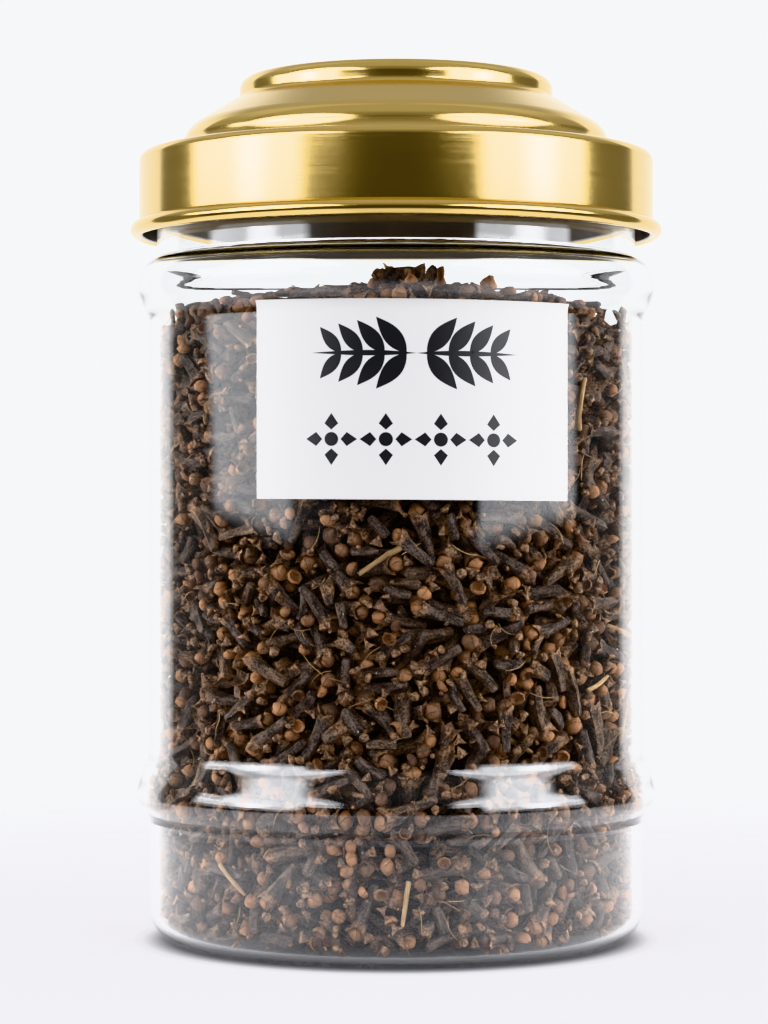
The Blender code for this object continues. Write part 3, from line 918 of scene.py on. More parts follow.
class Shape:
    """Points and faces of a small piece, gathered ring by ring. part says what each point belongs to."""

    def __init__(self):
        self.points = []
        self.faces = []
        self.part = []

    def point(self, place, part):
        self.points.append(tuple(float(x) for x in place))
        self.part.append(part)
        return len(self.points) - 1

    def ring(self, centre, radii, height, part, start=0.0):
        """A level ring with a radius for each of its points."""
        turns = start + np.linspace(0, math.tau, len(radii), endpoint=False)
        return [
            self.point((centre[0] + r * math.cos(t), centre[1] + r * math.sin(t), height), part)
            for r, t in zip(radii, turns)
        ]

    def join(self, *rings):
        """Joins each ring to the next one."""
        for lower, upper in zip(rings, rings[1:]):
            for i in range(len(lower)):
                j = (i + 1) % len(lower)
                self.faces.append((lower[i], lower[j], upper[j], upper[i]))

    def close_top(self, ring, height, part, across=0.0, order=1):
        """Closes the ring with a point at that height; an order of -1 turns the faces downwards."""
        tip = self.point((across, 0.0, height), part)
        for pair in zip(ring, ring[1:] + ring[:1]):
            self.faces.append((*pair[::order], tip))

    def close_bottom(self, ring, height, part):
        self.close_top(ring, height, part, order=-1)

    def add(self, other):
        first = len(self.points)
        self.points += other.points
        self.part += other.part
        self.faces += [tuple(first + i for i in face) for face in other.faces]

    def bend(self, draw, sag):
        """Bends the piece sideways along its length."""
        points = np.array(self.points)
        half = abs(points[:, 2]).max()
        turn = draw.uniform(0, math.tau)
        curve = sag * (1.0 - (points[:, 2] / half) ** 2)
        points[:, 0] += curve * math.cos(turn)
        points[:, 1] += curve * math.sin(turn)
        self.points = points.tolist()

    def mesh(self, name):
        made = bpy.data.meshes.new(name)
        made.from_pydata(self.points, [], self.faces)
        part = made.attributes.new("part", "FLOAT", "POINT")
        part.data.foreach_set("value", np.array(self.part, np.float32))
        spot = made.attributes.new("spot", "FLOAT_VECTOR", "POINT")
        spot.data.foreach_set("vector", np.array(self.points, np.float32).ravel())
        made.shade_smooth()
        made.set_sharp_from_angle(angle=SHAPE_CREASE)
        return made


STEM_SHARES = (0.0, 0.05, 0.22, 0.42, 0.62, 0.80, 0.93, 1.0)
STEM_RADII = (0.80, 1.10, 1.22, 1.34, 1.50, 1.72, 1.98, 2.12)
ALL_STEM = 2.0
CALYX_SIDES = 8
TEETH = (1, 3, 5, 7)


def stem_rings(
    shape, draw, low, high, width, sides=CALYX_SIDES, shares=STEM_SHARES, radii=STEM_RADII, calyx_from=0.85
):
    """A four-angled wrinkled stem from height low to high, which gives its rings."""
    turns = np.arange(sides) * math.tau / sides
    groove = draw.normal(0.0, 0.055, sides)
    rings = []
    for share_up, radius in zip(shares, radii):
        lumps = draw.normal(0.0, 0.045, sides)
        corners = 1.0 - 0.075 * np.cos(4 * turns)
        sized = radius * MM * width * (corners + groove + lumps)
        part = 0.5 if share_up > calyx_from else 0.0
        centre = draw.normal(0.0, 0.06 * MM, 2)
        rings.append(shape.ring(centre, sized, low + (high - low) * share_up, part))
    shape.join(*rings)
    shape.close_bottom(rings[0], low + draw.uniform(-0.05, 0.25) * MM, 0.1)
    return rings


def calyx(shape, draw, ring, level, spread, cup):
    """Four teeth on the stem's last ring, which has eight points, and the cup between them."""
    inner = {}
    cup_radius = 1.25 * MM
    for k in TEETH:
        turn = k * math.tau / CALYX_SIDES
        place = (cup_radius * math.cos(turn), cup_radius * math.sin(turn), level + 0.15 * MM)
        inner[k] = shape.point(place, 0.4)
    for k in TEETH:
        turn = k * math.tau / CALYX_SIDES + draw.normal(0.0, 0.06)
        out = np.array([math.cos(turn), math.sin(turn), 0.0])
        side = np.array([-math.sin(turn), math.cos(turn), 0.0])
        up = np.array([0.0, 0.0, 1.0])
        open_out = spread * draw.uniform(0.85, 1.15)
        tall = draw.uniform(0.75, 1.15)
        middle = out * (2.25 + 0.35 * open_out) * MM + up * (level + 0.75 * tall * MM)
        left = shape.point(middle - side * 0.72 * MM, 0.6)
        right = shape.point(middle + side * 0.72 * MM, 0.6)
        back = shape.point(middle - out * 0.55 * MM + up * 0.1 * MM, 0.45)
        tip = shape.point(out * (2.3 + 0.75 * open_out) * MM + up * (level + 1.65 * tall * MM), 0.6)
        before, here, after = ring[k - 1], ring[k], ring[(k + 1) % CALYX_SIDES]
        shape.faces += [
            (before, here, left),
            (here, right, left),
            (here, after, right),
            (after, inner[k], back, right),
            (inner[k], before, left, back),
            (left, right, tip),
            (right, back, tip),
            (back, left, tip),
        ]
    base = shape.point((0.0, 0.0, level - cup), 0.2)
    for k in TEETH:
        shape.faces.append((ring[(k + 1) % CALYX_SIDES], base, inner[k]))
        shape.faces.append((inner[k], base, ring[k - 1]))


def bud_ball(draw, radius, level, sides=8, rows=(-38, -5, 26, 56)):
    """A round bud of four folded petals, slightly flattened."""
    ball = Shape()
    turns = np.arange(sides) * math.tau / sides
    flat, twist = draw.uniform(0.78, 0.95), draw.uniform(0.0, math.tau)
    rings = []
    for row in rows:
        uneven = 1.0 + 0.10 * np.cos(4 * turns + twist) + draw.normal(0, 0.08, sides)
        sized = radius * math.cos(math.radians(row)) * uneven
        height = level + radius * flat * math.sin(math.radians(row))
        rings.append(ball.ring(draw.normal(0.0, 0.03 * MM, 2), sized, height, 1.0, 0.12 * row / 60))
    ball.join(*rings)
    ball.close_top(rings[-1], level + radius * draw.uniform(0.88, 1.0), 1.0)
    ball.close_bottom(rings[0], level - radius * 0.8, 0.9)
    return ball


def whole_clove(draw, cloves):
    shape = Shape()
    half = cloves.clove_length / 2
    width = draw.uniform(0.9, 1.1)
    level = half - 3.15 * MM
    rings = stem_rings(shape, draw, -half, level, width)
    calyx(shape, draw, rings[-1], level, draw.uniform(0.3, 1.2), 0.2 * MM)
    shape.add(bud_ball(draw, cloves.bud_radius * draw.uniform(0.92, 1.06), half - cloves.bud_radius))
    shape.bend(draw, draw.uniform(0.1, 0.9) * MM)
    return shape


def open_clove(draw, cloves):
    """A clove that has lost its bud: its four teeth stand open round an empty cup."""
    shape = Shape()
    half = cloves.clove_length * 0.41
    level = half - 1.6 * MM
    rings = stem_rings(shape, draw, -half, level, draw.uniform(0.9, 1.1))
    calyx(shape, draw, rings[-1], level, draw.uniform(0.8, 1.6), 0.9 * MM)
    shape.bend(draw, draw.uniform(0.1, 0.8) * MM)
    return shape


def short_calyx(draw, cloves):
    """The upper end of a broken clove."""
    shape = Shape()
    half = cloves.clove_length * 0.24
    level = half - 1.6 * MM
    shares = (0.0, 0.12, 0.5, 0.8, 1.0)
    radii = (0.9, 1.35, 1.6, 1.9, 2.12)
    rings = stem_rings(shape, draw, -half, level, 1.0, CALYX_SIDES, shares, radii, 0.4)
    calyx(shape, draw, rings[-1], level, draw.uniform(0.8, 1.8), 0.8 * MM)
    return shape


def broken_stem(draw, cloves):
    shape = Shape()
    half = cloves.clove_length * draw.uniform(0.24, 0.36)
    shares = (0.0, 0.08, 0.35, 0.65, 0.92, 1.0)
    radii = (0.75, 1.12, 1.22, 1.32, 1.30, 0.95)
    rings = stem_rings(shape, draw, -half, half, draw.uniform(0.85, 1.05), 7, shares, radii, ALL_STEM)
    shape.close_top(rings[-1], half - 0.15 * MM, 0.15)
    shape.bend(draw, draw.uniform(0.0, 0.6) * MM)
    return shape


def loose_bud(draw, cloves):
    return bud_ball(draw, cloves.bud_radius * draw.uniform(0.93, 1.05), 0.0, 10, (-62, -30, 0, 30, 60))


def petal_cap(draw, cloves):
    """A thin curved cap that has come off a bud."""
    shape = Shape()
    radius = cloves.bud_radius * draw.uniform(0.85, 1.05)
    turns = np.arange(8) * math.tau / 8
    rings = []
    rows = ((0.98, -0.30), (0.86, 0.16), (0.52, 0.48))
    wavy = 1.0 + 0.10 * np.cos(2 * turns + draw.uniform(0, 6)) + draw.normal(0, 0.04, 8)
    for scale, offset in ((1.0, 0.0), (0.82, -0.16)):
        for wide, tall in rows:
            height = radius * (tall + offset)
            rings.append(shape.ring((0.0, 0.0), radius * scale * wide * wavy, height, 0.95))
    outer, inner = rings[:3], rings[3:]
    shape.join(*outer)
    for lower, upper in ((inner[1], inner[0]), (inner[2], inner[1]), (inner[0], outer[0])):
        shape.join(lower, upper)
    shape.close_top(outer[2], radius * 0.62, 0.95)
    shape.close_bottom(inner[2], radius * 0.46, 0.8)
    return shape


def twig(draw, cloves):
    shape = Shape()
    half = cloves.clove_length * 0.42
    shares = (0.0, 0.03, 0.3, 0.6, 0.96, 1.0)
    radii = (0.35, 0.62, 0.60, 0.55, 0.50, 0.30)
    rings = stem_rings(shape, draw, -half, half, 1.0, 6, shares, radii, ALL_STEM)
    shape.close_top(rings[-1], half, 0.0)
    shape.bend(draw, draw.uniform(0.2, 0.7) * MM)
    return shape


def hair(draw, cloves):
    """A fine curved thread from inside a bud."""
    shape = Shape()
    half = cloves.clove_length * draw.uniform(0.16, 0.26)
    sway = draw.uniform(0.5, 1.5) * MM
    rings = []
    for share_up in np.linspace(0.0, 1.0, 8):
        bow = sway * math.sin(math.pi * share_up)
        width = 0.11 * MM * (1.0 if 0.0 < share_up < 1.0 else 0.5)
        rings.append(shape.ring((bow, 0.0), [width] * 3, (2 * share_up - 1) * half, 0.3))
    shape.join(*rings)
    shape.faces += [tuple(reversed(rings[0])), tuple(rings[-1])]
    return shape


def chip(draw, cloves):
    """An angular scrap of a calyx or a petal."""
    shape = Shape()
    radius = cloves.bud_radius * 0.80
    corners = np.array([draw.uniform(0.75, 1.3), draw.uniform(0.35, 0.8)] * 3)
    rings = [
        shape.ring((0.0, 0.0), radius * wide * corners, radius * tall, part, 0.15 * tall)
        for wide, tall, part in ((0.75, -0.35, 0.7), (1.0, 0.0, 0.6), (0.7, 0.38, 0.55))
    ]
    shape.join(*rings)
    shape.close_top(rings[2], radius * 0.3, 0.6, 0.2 * radius)
    shape.close_bottom(rings[0], -radius * 0.5, 0.7)
    return shape


def crumb(draw, cloves):
    shape = Shape()
    radius = cloves.bud_radius * 0.32
    rings = [
        shape.ring((0.0, 0.0), radius * wide * draw.uniform(0.75, 1.25, 5), radius * tall, 0.55, start)
        for wide, tall, start in ((0.8, -0.45, 0.0), (0.85, 0.45, 0.6))
    ]
    shape.join(*rings)
    shape.close_top(rings[1], radius * 0.95, 0.6)
    shape.close_bottom(rings[0], -radius * 0.95, 0.5)
    return shape


class Kind:
    """One kind of piece: its shape, and the balls along its length that keep others off it."""

    def __init__(self, name, shape, balls, finish):
        self.name = name
        self.finish = finish
        self.shape = shape
        self.corners = np.array(shape.points)
        self.balls = np.array(balls) * MM
        self.laid = []


# Name, shape, how many shapes, first seed, finish, and (height, radius) of its balls in millimetres
KINDS = (
    ("whole_cloves", whole_clove, 8, 0, "clove",
     ((-5.5, 1.2), (-3.3, 1.35), (-1.1, 1.5), (1.1, 1.7), (3.1, 2.2), (4.8, 2.0))),
    ("open_cloves", open_clove, 3, 20, "clove",
     ((-4.3, 1.2), (-2.4, 1.35), (-0.4, 1.5), (1.5, 1.75), (3.6, 2.3))),
    ("short_cloves", short_calyx, 2, 30, "clove", ((-1.8, 1.4), (0.2, 1.7), (2.0, 2.3))),
    ("broken_stems", broken_stem, 3, 40, "clove", ((-2.6, 1.2), (0.0, 1.3), (2.6, 1.2))),
    ("loose_buds", loose_bud, 3, 50, "clove", ((0.0, 1.95),)),
    ("petal_caps", petal_cap, 2, 60, "clove", ((0.0, 1.3),)),
    ("twigs", twig, 1, 70, "straw", tuple((z, 0.6) for z in (-4.8, -3.2, -1.6, 0.0, 1.6, 3.2, 4.8))),
    ("threads", hair, 3, 80, "straw", ((0.0, 0.2),)),
    ("chips", chip, 3, 100, "clove", ((0.0, 0.8),)),
    ("crumbs", crumb, 2, 90, "clove", ((0.0, 0.55),)),
)


def clove_kinds(cloves):
    """Every kind of piece in the heap, each drawn from its own seed."""
    kinds = []
    for name, make, number, first_seed, finish, balls in KINDS:
        for i in range(number):
            draw = np.random.default_rng(cloves.seed * 1000 + first_seed + i)
            own_name = name if number == 1 else f"{name}_{i + 1}"
            kinds.append(Kind(own_name, make(draw, cloves), balls, finish))
    return kinds


def turn_to(direction, spin):
    """Quaternion that lays a piece's length along a direction, spun about it."""
    x, y, z = direction
    if z < -0.9999:
        lay = np.array([0.0, 1.0, 0.0, 0.0])
    else:
        lay = np.array([1.0 + z, -y, x, 0.0])
        lay /= np.linalg.norm(lay)
    cos, sin = math.cos(spin / 2), math.sin(spin / 2)
    w, i, j, _ = lay
    return np.array([w * cos, i * cos + j * sin, j * cos - i * sin, w * sin])


def rotated(points, quaternion):
    w, axis = quaternion[0], quaternion[1:]
    cross = np.cross(axis, points)
    return points + 2.0 * (w * cross + np.cross(axis, cross))


class Layer:
    """Balls of the pieces laid so far, in square cells, so that near ones are found quickly."""

    CELL = 6.0 * MM

    def __init__(self, flat, around=0):
        self.flat = flat
        self.around = around
        self.cells = {}

    def cell(self, place):
        across, up = self.flat(place)
        column = math.floor(across / self.CELL)
        return (column % self.around if self.around else column), math.floor(up / self.CELL)

    def add(self, balls):
        for ball in balls:
            key = self.cell(ball)
            held = self.cells.get(key)
            self.cells[key] = ball[None] if held is None else np.vstack([held, ball])

    def near(self, place, reach=2):
        column, row = self.cell(place)
        found = []
        for i in range(-reach, reach + 1):
            key_column = (column + i) % self.around if self.around else column + i
            for j in range(-reach, reach + 1):
                held = self.cells.get((key_column, row + j))
                if held is not None:
                    found.append(held)
        return np.concatenate(found) if found else np.empty((0, 4))


def slid(balls, direction, farthest, others, squeeze):
    """How far balls at rest can go along a direction without lying in others, at most farthest."""
    if not len(others):
        return farthest
    apart = balls[:, None, :3] - others[None, :, :3]
    touch = (balls[:, None, 3] + others[None, :, 3]) * squeeze
    along = apart @ direction
    clear = along**2 - (apart**2).sum(axis=2) + touch**2
    met = clear > 0.0
    if not met.any():
        return farthest
    root = np.sqrt(clear[met])
    low, high = -along[met] - root, -along[met] + root
    reached = farthest
    for i in np.argsort(-high):
        if high[i] <= reached:
            break
        if low[i] < reached:
            reached = low[i]
    return reached


class Heap:
    """Lays the pieces one by one against the glass, then on top and on the floor."""

    SQUEEZE = 0.90
    GLASS_GAP = 0.1 * MM
    CORNER_GAP = 0.06 * MM
    FLOOR_GAP = 0.15 * MM
    MIDDLE_HEIGHT = 75.0 * MM
    POKE = 1.4 * MM
    STEEPNESS = 0.85
    CENTRE_MARGIN = 9.0 * MM
    BALL_MARGIN = 6.0 * MM
    TOP_REACH = 18 * MM
    FLOOR_REACH = 22 * MM
    LEVEL_DEPTH = 7.0 * MM

    def __init__(self, glass, cloves):
        self.glass = glass
        self.cloves = cloves
        self.draw = np.random.default_rng(cloves.seed)
        self.kinds = clove_kinds(cloves)
        inner = glass.body_radius - glass.wall
        columns = round(math.tau * inner / Layer.CELL)
        self.inner = inner
        self.floor = glass.floor_thickness + self.FLOOR_GAP
        self.side = Layer(
            lambda p: (math.atan2(p[0], -p[1]) % math.tau * columns * Layer.CELL / math.tau, p[2]), columns
        )
        self.lay_all()

    def top(self, place):
        """Height of the uneven top of the heap."""
        turn = math.atan2(place[0], -place[1])
        waves = ((3, 0.8, 0.35), (7, 2.1, 0.35), (13, 0.0, 0.3))
        swing = sum(math.sin(often * turn + start) * high for often, start, high in waves)
        near_middle = 1.0 - min(math.hypot(place[0], place[1]) / self.inner, 1.0) ** 2
        return self.cloves.fill_height + self.cloves.fill_swing * swing + self.cloves.mound * near_middle

    def named(self, *starts):
        return [kind for kind in self.kinds if kind.name.startswith(starts)]

    def drawn_size(self):
        return 1.0 + self.cloves.size_spread * self.draw.uniform(-1.0, 1.0)

    def lay_all(self):
        cloves = self.cloves
        groups = [
            ("whole_cloves", cloves.whole_cloves, 3, 0.42),
            ("open_cloves", cloves.open_cloves, 4, 0.55),
            ("short_cloves", cloves.short_cloves, 4, 0.8),
            ("broken_stems", cloves.stems, 4, 0.45),
            ("loose_buds", cloves.buds, 6, 1.5),
            ("petal_caps", cloves.caps, 6, 1.5),
            ("twigs", cloves.twigs, 6, 0.12),
            ("chips", cloves.chips, 6, 1.5),
            ("crumbs", cloves.crumbs, 4, 1.5),
            ("threads", cloves.hairs, 4, 0.2),
        ]
        for start, number, tries, tip in groups:
            self.lay_on_wall(self.named(start), number, tries, tip)
        for turned_down, number in ((False, cloves.top_pieces), (True, cloves.floor_pieces)):
            self.lay_level(number, turned_down)

    def lay_on_wall(self, kinds, number, tries, tip):
        """Slides each piece outwards from the middle until it meets the glass or another piece."""
        for i in range(number):
            kind = kinds[i % len(kinds)]
            best = None
            for _ in range(tries):
                found = self.try_wall(kind, (i + self.draw.uniform()) / number, tip)
                if found and (best is None or found[0] < best[0]):
                    best = found
            if best and best[0] < self.cloves.depth:
                self.keep(kind, *best[1:], self.side)

    def try_wall(self, kind, height_share, tip):
        """One way to lay the piece: how deep it lies, and its place, turn, size and balls."""
        draw = self.draw
        around = draw.uniform(0.0, math.tau)
        outward = np.array([math.sin(around), -math.cos(around), 0.0])
        sideways = np.array([math.cos(around), math.sin(around), 0.0])
        lean = draw.uniform(0.0, math.tau)
        direction = sideways * math.cos(lean) + np.array([0.0, 0.0, math.sin(lean) * self.STEEPNESS])
        direction = direction / np.linalg.norm(direction) + outward * draw.normal(0.0, tip)
        direction /= np.linalg.norm(direction)
        size = self.drawn_size()
        offsets = direction[None] * kind.balls[:, :1] * size
        radii = kind.balls[:, 1] * size
        lowest = self.floor - (offsets[:, 2] - radii).min()
        poke = abs(draw.normal(0.0, self.POKE))
        highest = self.top(outward * self.inner) + poke - (offsets[:, 2] + radii).max()
        level = lowest + (highest - lowest) * height_share
        balls = np.column_stack([offsets + (0.0, 0.0, level), radii])
        across = balls[:, :3] @ outward
        beside = balls[:, :3] @ sideways
        room = inner_radius(self.glass, balls[:, 2]) - radii - self.GLASS_GAP
        farthest = (np.sqrt(np.maximum(room**2 - beside**2, 0.0)) - across).min()
        middle = outward * self.inner + (0.0, 0.0, level)
        reached = slid(balls, outward, farthest, self.side.near(middle), self.SQUEEZE)
        place = outward * reached + (0.0, 0.0, level)
        balls[:, :3] += outward * reached
        return farthest - reached, place, turn_to(direction, draw.uniform(0.0, math.tau)), size, balls

    def lay_level(self, number, turned_down):
        """Slides pieces up to the top of the heap, or down to the floor of the jar."""
        kinds = self.named("whole_cloves", "open_cloves", "loose_buds")
        draw = self.draw
        upward = np.array([0.0, 0.0, -1.0 if turned_down else 1.0])
        layer = Layer(lambda p: (p[0], p[1]))
        for held in self.side.cells.values():
            if turned_down:
                end = held[:, 2] < self.FLOOR_REACH
            else:
                end = held[:, 2] > self.cloves.fill_height - self.TOP_REACH
            layer.add(held[end])
        for i in range(number):
            kind = kinds[i % len(kinds)]
            out = math.sqrt(draw.uniform()) * (self.inner - self.CENTRE_MARGIN)
            around = draw.uniform(0.0, math.tau)
            lean = draw.uniform(0.0, math.tau)
            direction = np.array([math.cos(lean), math.sin(lean), draw.normal(0.0, 0.3)])
            direction /= np.linalg.norm(direction)
            size = self.drawn_size()
            radii = kind.balls[:, 1] * size
            start = np.array([out * math.sin(around), -out * math.cos(around), self.MIDDLE_HEIGHT])
            balls = np.column_stack([direction[None] * kind.balls[:, :1] * size + start, radii])
            if (np.hypot(balls[:, 0], balls[:, 1]) + radii > self.inner - self.BALL_MARGIN).any():
                continue
            if turned_down:
                farthest = (balls[:, 2] - radii).min() - self.floor
            else:
                farthest = self.top(start) + draw.normal(0.0, 1.0 * MM) - (balls[:, 2] + radii).max()
            reached = slid(balls, upward, farthest, layer.near(start), self.SQUEEZE)
            if farthest - reached < self.LEVEL_DEPTH:
                balls[:, :3] += upward * reached
                turn = turn_to(direction, draw.uniform(0.0, math.tau))
                self.keep(kind, start + upward * reached, turn, size, balls, layer)

    def keep(self, kind, place, turn, size, balls, layer):
        """Keeps a piece, drawn in until every corner of it is clear of the glass."""
        corners = rotated(kind.corners * size, turn) + place
        radius = np.hypot(corners[:, 0], corners[:, 1])
        excess = (radius - inner_radius(self.glass, corners[:, 2])).max() + self.CORNER_GAP
        if excess > 0.0 and math.hypot(place[0], place[1]) > 0.0:
            outward = np.array([place[0], place[1], 0.0]) / math.hypot(place[0], place[1])
            place = place - outward * excess
            balls[:, :3] -= outward * excess
        low = corners[:, 2].min() - self.floor
        if low < 0.0:
            place = place - np.array([0.0, 0.0, low])
        kind.laid.append((place, turn, size))
        layer.add(balls)


HEAPS = {}


def plain_numbers(group):
    """The values of a group's settings apart from its colours, which don't shape the heap."""
    items = [item for item in group.bl_rna.properties if item.type in ("INT", "FLOAT")]
    return tuple(getattr(group, item.identifier) for item in items if not item.is_array)


def laid_heap(settings):
    """The heap for these settings. It is worked out once, because every kind of piece depends on it."""
    cloves, glass = settings.cloves, settings.glass
    key = plain_numbers(cloves) + plain_numbers(glass)
    if key not in HEAPS:
        HEAPS.clear()
        HEAPS[key] = Heap(glass, cloves)
    return HEAPS[key]


def kept_finish(name, make, *values):
    return bpy.data.materials.get(name) or make(*values)


def scatter(kind, settings, number):
    """Makes all the pieces of one kind as one plain mesh."""
    points = bpy.data.meshes.new(kind.name)
    points.from_pydata([place for place, _, _ in kind.laid], [], [])
    for name, sort, at in (("turn", "QUATERNION", 1), ("size", "FLOAT", 2)):
        values = np.array([laid[at] for laid in kind.laid], np.float32)
        points.attributes.new(name, sort, "POINT").data.foreach_set("value", values.ravel())
    piece = plain_object(kind.name, points)
    pattern = bpy.data.objects.new(kind.name + "_shape", kind.shape.mesh(kind.name + "_shape"))
    if kind.finish == "clove":
        finish = kept_finish("dried_clove", dried_clove, settings.cloves)
    else:
        finish = kept_finish("dry_straw", plain_straw, settings.cloves.straw)
    tree = shared_tree("Scattered Pieces", scatter_tree)
    realised(piece, tree, {"Shape": pattern, "Seed": settings.cloves.seed + number, "Finish": finish})
    for name in ("turn", "size"):
        piece.data.attributes.remove(piece.data.attributes[name])
    bpy.data.objects.remove(pattern, do_unlink=True)
    hand_over(piece, "cloves", "clove_heap")


class Builder:
    """What the operators share: each builds its pieces from the settings of the scene."""

    def execute(self, context):
        self.build(context.scene.clove_jar)
        return {"FINISHED"}


class Scatterer(Builder):
    """Lays the kinds of loose pieces whose names begin as an operator says."""

    def build(self, settings):
        for number, kind in enumerate(laid_heap(settings).kinds):
            if kind.name.startswith(self.starts) and kind.laid:
                scatter(kind, settings, number)


class CLOVEJAR_OT_glass_jar(Builder, Operator):
    """Turn the clear glass jar with its bulging ring, shoulder and neck"""

    bl_idname = "clovejar.glass_jar"
    bl_label = "Glass Jar"

    def build(self, settings):
        glass = settings.glass
        finish = kept_finish("clear_glass", clear_glass, glass.tint)
        piece = turned_piece("glass_jar", jar_profile(glass), glass.steps, finish)
        hand_over(piece, "jar", "jar")


class CLOVEJAR_OT_gold_lid(Builder, Operator):
    """Turn the stepped gold lid from one sheet of metal"""

    bl_idname = "clovejar.gold_lid"
    bl_label = "Gold Lid"

    def build(self, settings):
        lid = settings.lid
        finish = kept_finish("gold_metal", gold_metal, lid)
        piece = turned_piece("gold_lid", lid_profile(lid), lid.steps, finish)
        hand_over(piece, "lid", "lid")


class CLOVEJAR_OT_paper_label(Builder, Operator):
    """Bend the paper label round the glass and print its signs"""

    bl_idname = "clovejar.paper_label"
    bl_label = "Paper Label"

    def build(self, settings):
        label, glass = settings.label, settings.glass
        sheet = plain_object("paper_label", label_sheet(label, glass))
        sheet.data.materials.append(kept_finish("label_paper", label_paper, label.paper))
        hand_over(sheet, "label", "label")
        signs = plain_object("label_print", label_print(label, glass))
        signs.data.materials.append(kept_finish("label_ink", label_ink, label.ink))
        hand_over(signs, "label")


CORE_SEED = 77
CORE_WAVES = 14
CORE_MIDDLE = 70 * MM


class CLOVEJAR_OT_heap_core(Builder, Operator):
    """Turn the inside of the heap, painted dark as shade, which shows in the gaps between the cloves"""

    bl_idname = "clovejar.heap_core"
    bl_label = "Heap Core"

    def build(self, settings):
        cloves, glass = settings.cloves, settings.glass
        inset = 0.5 * MM
        radius = glass.body_radius - glass.wall - cloves.depth - inset
        top = cloves.fill_height - 6.0 * MM
        bottom = glass.floor_thickness + 5.0 * MM
        steps = np.linspace(0.0, 0.94, 13)
        profile = [(radius * step, top + cloves.mound * (1.0 - step**2)) for step in steps]
        profile += [(radius, level) for level in np.linspace(top - 2.5 * MM, bottom + 3.0 * MM, 56)]
        profile += [(radius * step, bottom) for step in np.linspace(0.95, 0.08, 12)] + [(0.0, bottom)]
        # The core's near-black colour is painted shade.
        piece = turned_piece("clove_core", profile, 120, kept_finish("deep_cloves", painted_shade_core))
        points, _ = mesh_arrays(piece.data)
        draw = np.random.default_rng(cloves.seed + CORE_SEED)
        waves = draw.normal(0.0, 1.0, (CORE_WAVES, 3)) * 320.0
        phases = draw.uniform(0.0, math.tau, CORE_WAVES)
        swell = np.sin(points @ waves.T + phases).mean(axis=1) * 4.2 * MM
        outward = points / np.linalg.norm(points * (1, 1, 0) + 1e-9, axis=1)[:, None] * (1, 1, 0)
        flat = np.hypot(points[:, 0], points[:, 1]) < radius * 0.97
        outward[flat] = np.where(points[flat, 2:] > CORE_MIDDLE, (0.0, 0.0, 1.0), (0.0, 0.0, -1.0))
        points += outward * swell[:, None]
        piece.data.vertices.foreach_set("co", points.ravel())
        piece.data.update()
        hand_over(piece, "cloves", "clove_heap")


class CLOVEJAR_OT_whole_cloves(Scatterer, Operator):
    """Lay the whole cloves"""

    bl_idname = "clovejar.whole_cloves"
    bl_label = "Whole Cloves"
    starts = ("whole_cloves",)


class CLOVEJAR_OT_broken_cloves(Scatterer, Operator):
    """Lay the open cloves, the short ends and the broken stems"""

    bl_idname = "clovejar.broken_cloves"
    bl_label = "Broken Cloves"
    starts = ("open_cloves", "short_cloves", "broken_stems")


class CLOVEJAR_OT_loose_buds(Scatterer, Operator):
    """Lay the loose round buds and the petal caps"""

    bl_idname = "clovejar.loose_buds"
    bl_label = "Loose Buds"
    starts = ("loose_buds", "petal_caps")


class CLOVEJAR_OT_scraps(Scatterer, Operator):
    """Lay the twigs, threads, chips and crumbs"""

    bl_idname = "clovejar.scraps"
    bl_label = "Scraps"
    starts = ("twigs", "threads", "chips", "crumbs")


